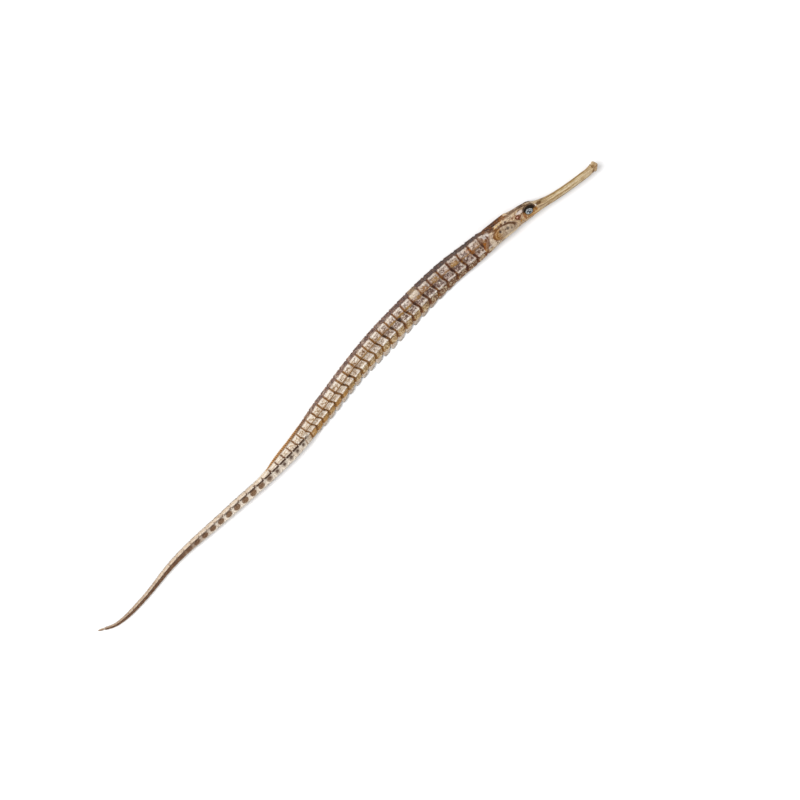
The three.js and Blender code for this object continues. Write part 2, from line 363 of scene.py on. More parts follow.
def makeWrinkle():
    # height of the shrunken, slightly pitted dried skin
    tree, ins, outs = newGroup("driedWrinkle", [
        ("Pits", "NodeSocketFloat", 0.5),
    ], [("Height", "NodeSocketFloat")])
    s = Sheet(tree)
    folds = s.noise(dried["wrinkle"], 5.0, 0.6)
    pits = s.cells(dried["speckle"])
    s.give(outs["Height"], s.plus(folds, s.times(pits, ins["Pits"])))
    return tree


driedSpeckle = makeSpeckle()
driedWrinkle = makeWrinkle()


def finishDried(s, surface, colour, speckle, rough, shine, pits, bump, *relief):
    # speckle is (flecks, chalk, stain), bump is (strength, distance in metres)
    flecks, chalk, stain = speckle
    speckled = s.group(driedSpeckle, Color=colour, Flecks=flecks, Chalk=chalk, Stain=stain)
    height = s.group(driedWrinkle, Pits=pits).outputs["Height"]
    for part in relief:
        height = s.plus(height, part)
    for name, value in (
        ("Base Color", speckled.outputs["Color"]), ("Roughness", rough),
        ("Specular IOR Level", shine), ("Normal", s.bump(height, *bump)),
    ):
        s.give(surface.inputs[name], value)


# the body: snout, head, armoured trunk and tail in one skin, in mm
mouth = {
    "station": 0.55,               # the tables below count from here
    "tip": 0.07,
    "throat": 0.05,                # where the skin closes inside the lips
    "end": 2.3,                    # behind this the head's own section holds
    "chinSlope": 0.62,
    "lipSlope": -0.25,
    "slopeEnd": 6,
    "rise": 0.5,
    "slit": (0.12, 0.1, 0.14),     # depth, drop below the middle, height
    "slitReach": [(1, -0.1, 0.5), (0.5, 0.9, 0.7)],        # share, middle, half length
    "depth": [
        (-0.5, 0.1), (-0.42, 0.9), (-0.28, 1.35), (-0.15, 1.62), (0, 1.84), (0.15, 1.93), (0.45, 1.95), (0.7, 1.9),
        (0.9, 1.72), (1.08, 1.54), (1.25, 1.56), (1.45, 1.68), (1.9, 1.6), (2.3, 1.5),
    ],
    "width": [
        (-0.5, 0.06), (-0.42, 0.5), (-0.28, 0.82), (-0.15, 1.0), (0, 1.14), (0.15, 1.22), (0.45, 1.22), (0.7, 1.2),
        (0.9, 1.12), (1.08, 1.03), (1.25, 1.06), (1.45, 1.2), (1.9, 1.19), (2.3, 1.17),
    ],
}

head = {
    "end": 46.9,
    "blend": 4.4,
    "step": 0.24,
    "depth": [
        (3.8, 1.5), (5, 1.43), (12, 1.4), (19, 1.48), (23.5, 1.65), (27, 2.15), (30, 2.75), (32.5, 3.1),
        (35, 3.25), (38.5, 3.78), (45, 3.88), (52, 4.1),
    ],
    "width": [
        (3.8, 1.18), (12, 1.16), (19, 1.22), (23.5, 1.5), (27, 1.95), (30, 2.3), (35, 2.6), (40, 2.9), (52, 3.15),
    ],
    "angles": [(0, -90), (1, -72), (2, -30), (3, 14), (4, 56), (5, 90)],
    "flankFrom": (0.3, 1.0),       # the relief fades in between these distances from the middle
    "troughs": [                   # depth, station, half length, face place, half face
        (0.45, 30.8, 3.0, 5, 0.3), (-0.22, 32.0, 2.4, 4.5, 0.25),
    ],
    "crest": (0.3, 37.6, 38.4, 0.18),              # height, start, full height, half face
    "snoutEnds": (3.4, 7, 23, 28),
    "snoutLines": [(0.06, 1.25, 0), (0.035, 2.9, 1)],    # height, lines for each face, turn
}

armour = {
    "first": 46.9,
    "last": 247,
    "pitch": [
        (47, 4.35), (55, 4.85), (62, 4.65), (75, 4.55), (88, 4.1), (103, 3.8), (122, 3.85), (134, 3.6),
        (143, 3.05), (150, 3.15), (162, 3.75), (168, 3.95), (190, 3.85), (203, 3.75), (214, 3.45), (230, 2.6),
        (246, 1.9),
    ],
    "groove": 0.5,
    "grooveWidth": 0.085,
    "frame": 0.12,
    "frameAt": 0.15,               # behind each ring border, as a share of the ring
    "frameWidth": 0.05,
    "tooth": 0.16,
    "bead": 0.16,
    "beads": [(2, 1), (3, 1), (4, 0.4)],           # ridge and its share of the bead
    "beadWidth": 0.08,
    "toothRise": (0.25, 0.93),
    "faceSink": 0.27,
    "sinkShape": 0.7,
    "backSag": 0.13,
    "keelGroove": 0.3,             # how much of the groove stays on the keel
    "backCalm": (0.86, 3.75, 4.05),                # how much of it is lost on the back
    "tailCalm": 0.5,
    "vent": 144.5,
    "ventBlend": 2.4,
    "fullWidth": 2.36,
}

ridges = {
    "upperWidth": [
        (47, 1.9), (55, 1.9), (72, 2.3), (87, 2.25), (102, 2.1), (130, 1.85), (145, 1.5), (152, 1.2), (160, 0.95),
        (168, 0.75), (181, 0.6), (217, 0.38), (250, 0.14),
    ],
    "upperHeight": [
        (47, 3.8), (55, 4.0), (65, 4.35), (73, 4.3), (87, 4.05), (102, 4.15), (116, 4.0), (134, 4.08), (141, 3.6),
        (146, 3.2), (153, 2.95), (160, 2.55), (166, 1.9), (172, 1.58), (181, 1.45), (196, 1.3), (217, 0.9),
        (239, 0.62), (250, 0.3),
    ],
    "lateralWidth": [(47, 3.1), (60, 3.35), (80, 3.5), (94, 3.55), (116, 3.2), (134, 2.8), (144, 2.5)],
    "lateralHeight": [(47, 1.45), (73, 1.75), (94, 1.6), (116, 1.5), (144, 1.35)],
    "lowerWidth": [
        (47, 2.6), (73, 2.42), (90, 2.36), (116, 2.25), (134, 2.1), (146, 2.0), (160, 1.72), (167, 1.58),
        (181, 1.42), (196, 1.22), (217, 0.87), (239, 0.6), (250, 0.24),
    ],
    "lowerHeight": [
        (47, -1.9), (73, -1.73), (87, -1.95), (102, -1.7), (116, -1.35), (130, -0.85), (141, -0.54), (146, -0.25),
        (153, 0.3), (160, 0.85), (167, 1.15), (181, 1.35), (196, 1.22), (217, 0.85), (239, 0.6), (250, 0.3),
    ],
    "bellyWidth": [
        (47, 1.5), (56, 0.9), (64, 0.42), (73, 0.32), (136, 0.32), (141, 0.6), (146, 1.6), (153, 1.58), (167, 1.5),
        (181, 1.34), (196, 1.14), (217, 0.82), (239, 0.56), (250, 0.22),
    ],
    "bellyHeight": [
        (47, -3.7), (52, -4.1), (58, -4.5), (73, -4.9), (90, -5.1), (102, -4.8), (116, -3.85), (124, -3.35),
        (134, -3.15), (146, -3.0), (153, -2.7), (160, -2.2), (167, -1.9), (181, -1.68), (196, -1.35), (217, -0.87),
        (239, -0.6), (250, -0.3),
    ],
    "keelHeight": [
        (47, 0.25), (56, 0.2), (66, 0.45), (73, 0.8), (87, 1.35), (95, 1.5), (102, 1.5), (116, 1.25), (124, 1.3),
        (134, 1.1), (141, 0.75), (146, 0.06), (160, 0.03), (250, 0.02),
    ],
    "keelTooth": [
        (0, 0), (0.1, 0.0), (0.14, 0.2), (0.2, 0.62), (0.28, 0.84), (0.5, 0.92), (0.76, 1.02), (0.84, 1.02),
        (0.88, 0.75), (0.92, 0.05), (1, 0),
    ],
    "chevron": [(0, 1.7), (1, 0.5), (1.5, -0.1), (2, -0.5), (2.5, -0.1), (3, 0.2), (3.5, 0.2), (4, 0.3), (5, 1.05)],
    "chevronScale": [(47, 0), (54, 0.8), (62, 1), (140, 1), (150, 0.6), (170, 0.4), (250, 0.15)],
}

# station, half width and half height of the last small blade
tailBlade = [(247.4, 0.26, 0.42), (248.2, 0.2, 0.5), (249.1, 0.16, 0.5), (249.8, 0.12, 0.34), (250.15, 0.04, 0.1)]

ruffle = {
    "depth": 0.03,
    "seed": 3,
    "size": 1.5,
    "around": 1.6,                 # how much closer the waves stand round the body than along it
    "grows": (20, 40),             # stations between which it sets in
}

# small relief of the head: (station, high, half length, half depth, push outwards), all in mm
headRelief = [
    (26.0, 1.25, 0.85, 0.34, -0.3),     # nostril
    (24.8, 1.35, 0.5, 0.34, 0.12),      # rim before the nostril
    (27.2, 1.1, 0.3, 0.3, 0.14),        # rim behind it
    (30.1, 0.72, 2.9, 2.3, -0.22),      # socket of the eye
    (35.1, 0.6, 0.9, 0.5, -0.42),       # pit behind the eye
    (36.6, 0.9, 0.5, 0.35, 0.14),
    (37.2, -0.2, 0.4, 0.6, -0.2),
    (33.9, -1.7, 0.5, 1.4, 0.16),       # edge of the cheek
    (34.9, -1.7, 0.35, 1.4, -0.14),
    (37.5, 2.15, 3.8, 0.26, 0.2),       # ridge from the eye to the nape
    (40.5, 2.9, 2.8, 0.2, -0.12),
    (43.5, 2.55, 3.6, 0.16, 0.14),
    (28.6, -1.75, 3.6, 0.2, 0.14),      # ridge under the eye
    (47.4, -0.8, 0.8, 2.4, -0.22),      # slot behind the gill cover
]

eye = {
    "at": (30.1, 2.0, 0.72),
    "half": (2.3, 1.76),
    "bulge": 0.95,
    "domeEdge": 0.86,           # 1 would bring the dome's edge down to nothing
    "sink": 0.2,
    "driedFlat": 0.75,          # how much of the dome is left
    "lensAt": (0.1, -0.2),      # in shares of the half sizes, from the middle of the opening
    "lensSize": 0.66,
    "lensBulge": 0.22,
    "ditch": (-0.1, 0.05, 0.07),        # lift, how far outside the lens, width
    "under": 0.5,
}

orbit = {
    "half": (2.42, 1.86),
    "thick": 0.27,
    "thickness": (0.8, 0.5),    # at the foot, and what the brow adds, in shares
    "uneven": (0.08, 9, 1),     # share, waves, turn
    "width": 2.1,
    "roundness": 0.9,
    "brow": 0.2,
    "between": (0.55, 0.45),    # its foot lies between the flank and the eye, in these shares
    "outside": 0.28,
    "swell": 0.34,              # how far the skin round it rises with it
    "sunk": 0.05,
    "socket": (0.7, 0.72, 0.98),        # depth, full depth to here, none from here
    "around": 96,
    "cross": 16,
}


def flankWidth(station, high):
    # how far the head's flank stands from its middle, at a height
    depth, width = along(head["depth"], station), along(head["width"], station)
    lean = np.clip(high / depth, -0.97, 0.97)
    return width * np.sqrt(1 - lean ** 2)


def rimBase(station, high):
    # how far the foot of the bony rim stands from the middle of the head
    flank, socket = orbit["between"]
    return flank * flankWidth(station, high) + socket * (eye["at"][1] + orbit["outside"])


# how closely the skin's points stand, as shares of a face or of a ring
meshSteps = {
    "faceSteps": [0, 0.07, 0.16, 0.3, 0.5, 0.7, 0.84, 0.93],
    "backSteps": [0, 0.1, 0.28, 0.52, 0.78, 1.0],
    "keelSteps": [0, 0.35, 0.7],
    "trunkPhases": [0, 0.025, 0.05, 0.075, 0.1, 0.14, 0.2, 0.28, 0.36, 0.44, 0.52, 0.6, 0.68, 0.76, 0.82, 0.87,
                    0.91, 0.94, 0.965, 0.985],
    "tailPhases": [0, 0.03, 0.07, 0.12, 0.2, 0.32, 0.44, 0.56, 0.68, 0.8, 0.88, 0.93, 0.965],
    "tipPhases": [0, 0.06, 0.14, 0.28, 0.44, 0.6, 0.76, 0.88, 0.95],
    "tipStart": 214,               # station
    # in mm from the mouth's own station
    "mouthRows": [-0.49, -0.46, -0.42, -0.36, -0.28, -0.2, -0.12, -0.04, 0.04, 0.13, 0.24, 0.36, 0.48, 0.6, 0.7,
                  0.8, 0.9, 1.0, 1.08, 1.16, 1.25, 1.35, 1.45, 1.6, 1.8, 2.0, 2.2],
    "headRing": 10,                # mm that count as one ring in front of the armour
}


def facePlaces():
    # 0 keel edge, 1 belly corner, 2 lower ridge, 3 lateral ridge, 4 upper ridge, 5 middle of the back
    places = list(meshSteps["keelSteps"])
    for k in (1, 2, 3):
        places += [k + t for t in meshSteps["faceSteps"]]
    return np.array(places + [4 + t for t in meshSteps["backSteps"]])


def bodyRows():
    # station and ring coordinate of every line of points, from mouth to tail
    stations = [mouth["station"] + behind for behind in meshSteps["mouthRows"]]
    first = stations[-1] + head["step"]
    stations += list(np.linspace(first, head["end"], int((head["end"] - first) / head["step"]), endpoint=False))
    rings = [-1.0 + (s - head["end"]) / meshSteps["headRing"] for s in stations]
    ring, number = armour["first"], 0
    while ring < armour["last"]:
        pitch = float(along(armour["pitch"], ring))
        phases = meshSteps["trunkPhases"]
        if ring > armour["vent"]:
            phases = meshSteps["tailPhases"]
        if ring > meshSteps["tipStart"]:
            phases = meshSteps["tipPhases"]
        for phase in phases:
            stations.append(ring + pitch * phase)
            rings.append(number + phase)
        ring += pitch
        number += 1
    return np.array(stations), np.array(rings), number


def headSection(station, places):
    at = station - mouth["station"]
    depth, width = [
        np.where(at < mouth["end"], along(mouth[size], at), along(head[size], station))
        for size in ("depth", "width")
    ]
    share = 1 - step(station, mouth["station"], mouth["slopeEnd"])
    rise = mouth["rise"] * share
    angle = np.radians(np.interp(places, *zip(*head["angles"])))[None, :]
    across = width[:, None] * np.cos(angle)
    high = rise[:, None] + depth[:, None] * np.sin(angle)
    above = high - rise[:, None]
    slant = -np.where(above < 0, mouth["chinSlope"], mouth["lipSlope"]) * share[:, None]
    deep, drop, tall = mouth["slit"]
    reach = sum(part * hill(at, middle, long) for part, middle, long in mouth["slitReach"])
    slit = deep * hill(high, rise[:, None] - drop, tall) * reach[:, None]
    return across - slit * np.cos(angle), high, slant * above


def armourSection(station, ring, places):
    size = np.minimum(along(ridges["lowerWidth"], station) / armour["fullWidth"], 1)
    phase = np.mod(ring, 1)
    low, top, side, belly = [
        np.stack([along(ridges[name + "Width"], station), along(ridges[name + "Height"], station)])
        for name in ("lower", "upper", "lateral", "belly")
    ]
    fade = step(station, armour["vent"] - armour["ventBlend"], armour["vent"] + armour["ventBlend"])
    lateral = side + ((2 * low + top) / 3 - side) * fade         # on the tail it lies between its neighbours
    keelEdge = belly[1] - along(ridges["keelHeight"], station) * along(ridges["keelTooth"], phase)
    keel = np.stack([0 * station, keelEdge])
    back = np.stack([0 * station, top[1] - armour["backSag"] * size])
    corners = np.stack([keel, belly, low, lateral, top, back])          # corner, across or high, row
    k = np.minimum(places.astype(int), 4)
    t = (places - k)[None, :]
    start, end = corners[k], corners[k + 1]                              # place, 2, row
    start, end = start.transpose(1, 2, 0), end.transpose(1, 2, 0)        # 2, row, place
    point = start + (end - start) * t
    run = end - start
    length = np.maximum(np.hypot(run[0], run[1]), 1e-6)
    sink = np.where((k >= 1) & (k <= 3), armour["faceSink"], 0.0)[None, :] * size[:, None]
    hollow = sink * (4 * t * (1 - t)) ** armour["sinkShape"]
    point = point + np.stack([-run[1], run[0]]) / length * hollow
    centre = ((belly[1] + top[1]) / 2)[:, None]
    near = np.minimum(phase, 1 - phase)[:, None]
    groove = hill(near, 0, armour["grooveWidth"])
    frameLine = hill(near, armour["frameAt"], armour["frameWidth"])
    ridgeLine = sum(hill(places, ridge, armour["beadWidth"]) * share for ridge, share in armour["beads"])[None, :]
    rising = step(phase, *armour["toothRise"])[:, None]
    lost, backFrom, backTo = armour["backCalm"]
    deep = np.where(places < 1, armour["keelGroove"], 1 - lost * step(places, backFrom, backTo))[None, :]
    calm = 1 - armour["tailCalm"] * fade[:, None]
    push = -armour["groove"] * groove * deep * calm
    push = push + armour["frame"] * frameLine * step(places, 1.0, 1.3)[None, :]
    push = push + ridgeLine * (armour["bead"] + armour["tooth"] * rising) * (1 - groove) * calm
    reach = np.maximum(np.hypot(point[0], point[1] - centre), 0.05)
    grown = 1 + push * size[:, None] / reach
    across, high = point[0] * grown, centre + (point[1] - centre) * grown
    shift = along(ridges["chevron"], places)[None, :] * along(ridges["chevronScale"], station)[:, None]
    return across, high, shift


def bodySkin():
    places = facePlaces()
    station, ring, ringCount = bodyRows()
    across, high, shift = headSection(station, places)
    for s0, h0, halfLong, halfDeep, out in headRelief:
        bumpy = out * np.exp(-((station[:, None] - s0) / halfLong) ** 2 - ((high - h0) / halfDeep) ** 2)
        across = across + bumpy * step(across, *head["flankFrom"])
    far = np.hypot((station[:, None] - eye["at"][0]) / orbit["half"][0], (high - eye["at"][2]) / orbit["half"][1])
    swell = np.where(far < 1, 1.0, hill(far, 1, orbit["swell"])) * step(across, 0.1, 0.5)
    deep, inner, outer = orbit["socket"]
    foot = rimBase(station[:, None], high) - orbit["sunk"] - deep * (1 - step(far, inner, outer))
    across = across + swell * (foot - across) * np.where((foot > across) | (far < 1), 1, 0)
    trough = sum(
        deep * hill(station, s0, long)[:, None] * hill(places, p0, wide)[None, :]
        for deep, s0, long, p0, wide in head["troughs"]
    )
    tall, crestFrom, crestTo, wide = head["crest"]
    crest = tall * step(station, crestFrom, crestTo)[:, None] * hill(places, 5, wide)[None, :]
    begin, full, less, gone = head["snoutEnds"]
    onSnout = (step(station, begin, full) * (1 - step(station, less, gone)))[:, None]
    snoutLines = sum(tall * np.cos(places * math.tau * lines + turn) for tall, lines, turn in head["snoutLines"])
    high = high - trough + crest + snoutLines[None, :] * onSnout * np.sign(high)
    plated = armourSection(station, ring, places)
    armoured = step(station, head["end"], head["end"] + head["blend"])[:, None]
    across, high, shift = [a + (b - a) * armoured for a, b in zip((across, high, shift), plated)]

    # all the way round: right half from keel to back, then the left half down again
    count = len(places)
    order = np.concatenate([np.arange(count), np.arange(count - 2, 0, -1)])
    sign = np.where(np.arange(len(order)) < count, 1.0, -1.0)
    face, acrossAll, highAll = places[order], across[:, order] * sign, high[:, order]
    stationAll = station[:, None] + shift[:, order]

    # dried plates are never quite even
    close = ruffle["around"]
    uneven = wobble(stationAll, acrossAll * close, highAll * close, ruffle["seed"], ruffle["size"])
    ruffled = ruffle["depth"] * step(station, *ruffle["grows"])[:, None] * uneven
    reach = np.maximum(np.hypot(acrossAll, highAll), 0.2)
    acrossAll, highAll = acrossAll * (1 + ruffled / reach), highAll * (1 + ruffled / reach)

    blade = np.array(tailBlade)
    angle = np.radians(np.interp(face, *zip(*head["angles"])))
    bladeAcross = blade[:, 1:2] * np.cos(angle) * sign
    bladeHigh = blade[:, 2:3] * np.sin(angle)
    bladeStation = np.repeat(blade[:, 0:1], len(order), axis=1)
    stationAll = np.vstack([stationAll, bladeStation])
    acrossAll = np.vstack([acrossAll, bladeAcross])
    highAll = np.vstack([highAll, bladeHigh])
    rowStation = np.concatenate([station, blade[:, 0]])
    rowRing = np.concatenate([ring, ringCount + np.linspace(0.1, 0.6, len(blade))])

    points = place(stationAll, acrossAll, highAll)
    rows, around = points.shape[:2]
    ends = [place(np.array(mouth["throat"]), 0.0, mouth["rise"]), place(np.array(bodyPath["closeAt"]), 0.0, 0.0)]
    faces = gridFaces(rows, around)
    last = (rows - 1) * around
    for i in range(around):
        j = (i + 1) % around
        faces.append((rows * around, j, i))
        faces.append((rows * around + 1, last + i, last + j))

    def spread(values, first, final):
        return np.concatenate([np.broadcast_to(values, (rows, around)).ravel(), [first, final]])

    marks = {
        "station": spread(rowStation[:, None], mouth["tip"], bodyPath["tailTip"]),
        "ring": spread(rowRing[:, None], rowRing[0], rowRing[-1]),
        "face": spread(face[None, :], 2.5, 2.5),
        "high": spread(highAll, 0.0, 0.0),
    }
    piece = makeMesh("bodySkin", np.vstack([points.reshape(-1, 3), ends]), faces, marks)
    layOutBake(piece, rows, around, rowStation, points)
    return piece


bakeLayout = {"strips": 5, "margin": 0.006, "fanRadius": 0.025, "fanInset": 0.03, "fanStep": 0.06}


def layOutBake(piece, rows, around, rowStation, points):
    # the long skin is cut into strips that lie one above the other
    strips, margin = bakeLayout["strips"], bakeLayout["margin"]
    cuts = [int(np.searchsorted(rowStation, rowStation[-1] * k / strips)) for k in range(strips)] + [rows - 1]
    gaps = np.linalg.norm(np.roll(points, -1, axis=1) - points, axis=2)
    travelled = np.concatenate([np.zeros((rows, 1)), np.cumsum(gaps, axis=1)], axis=1)
    widest = travelled[:, -1].max()
    layer = piece.data.uv_layers.new(name="OFBake")
    uv = np.zeros((len(piece.data.loops), 2))
    loop = 0
    stripOf = np.zeros(rows, int)
    for k in range(strips):
        stripOf[cuts[k]:cuts[k + 1]] = k
    stripOf[rows - 1] = strips - 1
    height = 1 / strips
    for r in range(rows - 1):
        k = stripOf[r]
        s0, s1 = rowStation[cuts[k]], rowStation[cuts[k + 1]]
        left = margin + (1 - 2 * margin) * (rowStation[r] - s0) / (s1 - s0)
        right = margin + (1 - 2 * margin) * (rowStation[r + 1] - s0) / (s1 - s0)
        base = k * height + margin
        near = base + (height - 2 * margin) * travelled[r] / widest
        far = base + (height - 2 * margin) * travelled[r + 1] / widest
        for i in range(around):
            uv[loop:loop + 4] = ((left, near[i]), (left, near[i + 1]), (right, far[i + 1]), (right, far[i]))
            loop += 4
    # the two end fans sit in the free corner above the narrow tail strip
    free, radius = 1 - margin - bakeLayout["fanInset"], bakeLayout["fanRadius"]
    for i in range(around):
        a, b = math.tau * i / around, math.tau * (i + 1) / around
        for centre, turns in ((free, (b, a)), (free - bakeLayout["fanStep"], (a, b))):
            edge = [(centre + radius * math.cos(turn), free + radius * math.sin(turn)) for turn in turns]
            uv[loop:loop + 3] = [(centre, free), *edge]
            loop += 3
    layer.data.foreach_set("uv", uv.ravel())


skinLook = {
    # noises of the skin, per metre
    "fine": 2300.0,
    "mottle": 1000.0,
    "plum": 800.0,
    "tinted": 560.0,
    "hazy": 380.0,
    # stations in mm between which one part of the fish passes into the next
    "snoutEnds": (24.0, 28.0),
    "armourStarts": (46.5, 50.0),
    "tailStarts": (143.0, 146.5),
    "rearTailStarts": (188.0, 210.0),
    # colours along the body, as (station in mm, red, green, blue)
    "light": [
        (0, 196, 172, 136), (10, 214, 196, 160), (24, 202, 180, 142), (32, 190, 162, 126),
        (46, 204, 182, 154), (56, 228, 214, 202), (84, 236, 226, 214), (100, 236, 225, 210),
        (125, 236, 225, 208), (143, 238, 227, 211), (165, 242, 230, 214), (190, 238, 222, 204),
        (215, 234, 216, 196), (244, 214, 190, 162), (250, 170, 140, 112),
    ],
    "dark": [
        (0, 168, 134, 94), (10, 160, 126, 76), (24, 146, 114, 74), (32, 112, 78, 50),
        (48, 102, 72, 50), (60, 82, 56, 48), (80, 88, 62, 54), (95, 110, 82, 68),
        (112, 130, 98, 68), (143, 168, 138, 102), (165, 212, 190, 162), (215, 196, 168, 136),
        (250, 144, 110, 80),
    ],
    "groove": [
        (46, 104, 50, 8), (60, 82, 34, 4), (85, 104, 54, 10), (105, 134, 88, 24),
        (143, 128, 84, 32), (158, 104, 64, 32), (250, 92, 60, 36),
    ],
    "back": [
        (38, 98, 52, 14), (46, 78, 38, 14), (55, 50, 24, 14), (75, 60, 32, 24),
        (88, 84, 50, 42), (112, 108, 74, 62), (130, 110, 78, 66), (146, 146, 112, 84),
        (162, 226, 208, 184), (215, 216, 196, 172), (250, 170, 140, 112),
    ],
    "belly": [
        (46, 190, 162, 126), (58, 116, 74, 42), (76, 114, 74, 40), (84, 180, 144, 90),
        (108, 188, 154, 104), (122, 194, 158, 100), (143, 196, 152, 86), (146, 196, 182, 164),
        (165, 168, 148, 126), (205, 138, 110, 86), (250, 128, 100, 78),
    ],
    "keel": [
        (46, 180, 158, 132), (62, 140, 112, 92), (80, 172, 154, 138), (95, 196, 182, 168),
        (140, 190, 172, 152), (148, 204, 190, 174), (250, 184, 164, 142),
    ],
}


def bandColours(s, station, name):
    return s.ramp(station, skinLook[name], 0.0, bodyPath["tailTip"])


def makeSpot():
    # round or oval mark, 1 inside and 0 outside
    starts = (("Along", 0), ("Up", 0), ("Centre Along", 0), ("Centre Up", 0), ("Half Along", 1), ("Half Up", 1))
    sockets = [(name, "NodeSocketFloat", start) for name, start in starts]
    tree, ins, outs = newGroup("ovalMark", sockets, [("Mask", "NodeSocketFloat")])
    s = Sheet(tree)
    x, y = [
        s.maths("DIVIDE", s.minus(ins[way], ins["Centre " + way]), ins["Half " + way]) for way in ("Along", "Up")
    ]
    s.give(outs["Mask"], s.smooth(s.reach(x, y), 1.22, 0.8))
    return tree


ovalMark = makeSpot()


def spot(s, lengthways, upwards, *numbers):
    # the numbers are the middle and the half sizes, first lengthways and then upwards
    node = s.group(ovalMark, Along=lengthways, Up=upwards)
    for name, number in zip(("Centre Along", "Centre Up", "Half Along", "Half Up"), numbers):
        node.inputs[name].default_value = number
    return node.outputs["Mask"]


flankMarks = [
    # station, high, half length, half depth, colour, strength; all in mm
    (2.0, 1.1, 0.6, 0.5, (132, 98, 48), 0.75),       # notch behind the lip
    (2.5, -0.6, 0.55, 0.55, (112, 78, 42), 0.8),
    (14.0, -1.3, 10.5, 0.24, (146, 110, 46), 0.9),   # ochre lower edge of the snout
    (14.0, 1.35, 10.5, 0.2, (146, 112, 52), 0.85),
    (12.0, 0.5, 9.0, 0.2, (222, 208, 178), 0.55),
    (13.0, -0.75, 9.0, 0.16, (218, 202, 168), 0.5),
    (17.0, -0.1, 8.0, 0.16, (144, 110, 52), 0.8),
    (25.4, -0.1, 2.0, 0.18, (118, 96, 86), 0.5),
    (27.9, -0.1, 0.9, 0.9, (158, 104, 26), 0.85),    # ochre before the eye
    (27.6, -1.2, 2.4, 0.45, (206, 176, 126), 0.6),
    (29.8, -1.6, 2.6, 0.3, (172, 120, 52), 0.7),     # ochre below the eye
    (32.4, -0.5, 0.6, 1.4, (136, 76, 22), 0.85),
    (33.4, -1.3, 0.8, 0.5, (176, 136, 84), 0.6),
    (33.2, 3.15, 4.2, 0.42, (70, 42, 22), 0.95),     # dark brow
    (31.0, 2.5, 2.6, 0.3, (132, 106, 80), 0.7),
    (28.5, 2.35, 2.2, 0.3, (206, 188, 160), 0.7),
    (25.9, 1.2, 1.2, 0.5, (96, 66, 28), 0.97),       # nostril
    (24.3, 1.55, 0.9, 0.3, (126, 98, 58), 0.7),
    (27.35, 1.15, 0.42, 0.36, (234, 222, 210), 0.95),
    (28.2, 1.3, 0.8, 0.4, (52, 38, 26), 0.9),
    (33.6, 1.7, 1.5, 0.5, (214, 202, 196), 0.75),    # pale skin behind the eye
    (35.0, 0.5, 1.35, 0.8, (104, 46, 10), 0.97),     # pit behind the eye
    (35.35, 0.55, 0.34, 0.26, (232, 184, 160), 0.95),
    (37.2, -0.3, 0.7, 0.7, (76, 44, 30), 0.9),
    (36.4, 1.6, 1.6, 0.3, (140, 96, 72), 0.55),
    (34.6, -1.5, 0.24, 0.9, (158, 108, 34), 0.9),    # edge of the cheek
    (38.6, 2.3, 2.6, 0.6, (206, 186, 162), 0.5),
    (36.5, 2.95, 3.4, 0.36, (136, 108, 84), 0.7),
    (39.8, 1.9, 0.5, 0.4, (74, 50, 44), 0.85),
    (42.0, 2.2, 1.3, 0.4, (92, 54, 24), 0.85),
    (44.6, 2.0, 1.2, 0.36, (104, 62, 24), 0.85),
    (41.2, 2.72, 0.3, 0.34, (216, 186, 140), 0.85),  # pale ladder beside the dark crest
    (42.2, 2.66, 0.3, 0.34, (216, 186, 140), 0.85),
    (43.2, 2.6, 0.34, 0.3, (210, 176, 120), 0.85),
    (44.3, 2.5, 0.5, 0.26, (204, 160, 92), 0.85),
    (46.0, 2.7, 1.6, 0.5, (82, 44, 20), 0.9),
    (48.4, 3.0, 1.2, 0.4, (120, 88, 68), 0.7),
    (39.6, 3.2, 0.7, 0.5, (128, 82, 44), 0.8),
    (47.5, 1.5, 1.3, 1.0, (170, 146, 130), 0.6),
    (47.8, -1.4, 0.8, 2.0, (212, 194, 172), 0.8),    # pale patch behind the gill cover
    (48.6, 2.4, 1.5, 0.7, (206, 196, 190), 0.7),
    (48.4, 1.7, 0.35, 0.8, (92, 50, 22), 0.9),       # rusty stain at the side fin
    (49.3, 0.9, 0.4, 0.9, (104, 56, 20), 0.9),
    (50.4, 0.0, 0.7, 1.1, (160, 96, 24), 0.97),
    (51.3, -1.8, 0.7, 1.3, (162, 86, 8), 0.97),
    (52.0, -3.0, 0.7, 0.9, (112, 60, 18), 0.95),
    (50.2, 2.2, 0.5, 0.5, (112, 66, 30), 0.7),
    (55.6, 0.9, 0.9, 0.9, (150, 92, 36), 0.75),
]

ridgeMarks = [
    # ring number with its share, face place, half ring, half face, colour, strength
    (3.55, 3.2, 0.34, 0.3, (164, 120, 52), 0.8),
    (5.5, 3.25, 0.34, 0.3, (156, 116, 54), 0.75),
    (6.6, 3.3, 0.3, 0.34, (156, 110, 50), 0.75),
    (7.4, 2.95, 0.34, 0.3, (148, 108, 52), 0.85),
    (8.6, 3.02, 0.34, 0.22, (160, 120, 50), 0.9),
    (9.55, 2.98, 0.38, 0.24, (154, 114, 48), 0.9),
    (10.6, 3.0, 0.34, 0.2, (156, 116, 50), 0.85),
    (12.5, 2.98, 0.34, 0.16, (172, 134, 74), 0.8),
    (14.5, 3.0, 0.34, 0.16, (172, 134, 74), 0.7),
    (7.3, 4.5, 0.42, 0.5, (200, 166, 120), 0.62),
    (7.5, 3.7, 0.5, 0.4, (226, 208, 182), 0.6),
    (9.9, 2.75, 0.16, 0.24, (44, 28, 30), 0.95),
    (10.98, 2.7, 0.14, 0.28, (44, 28, 30), 0.95),
    (19.0, 3.1, 0.18, 0.16, (84, 58, 48), 0.9),
    (2.1, 3.4, 0.2, 0.3, (150, 90, 24), 0.85),
]


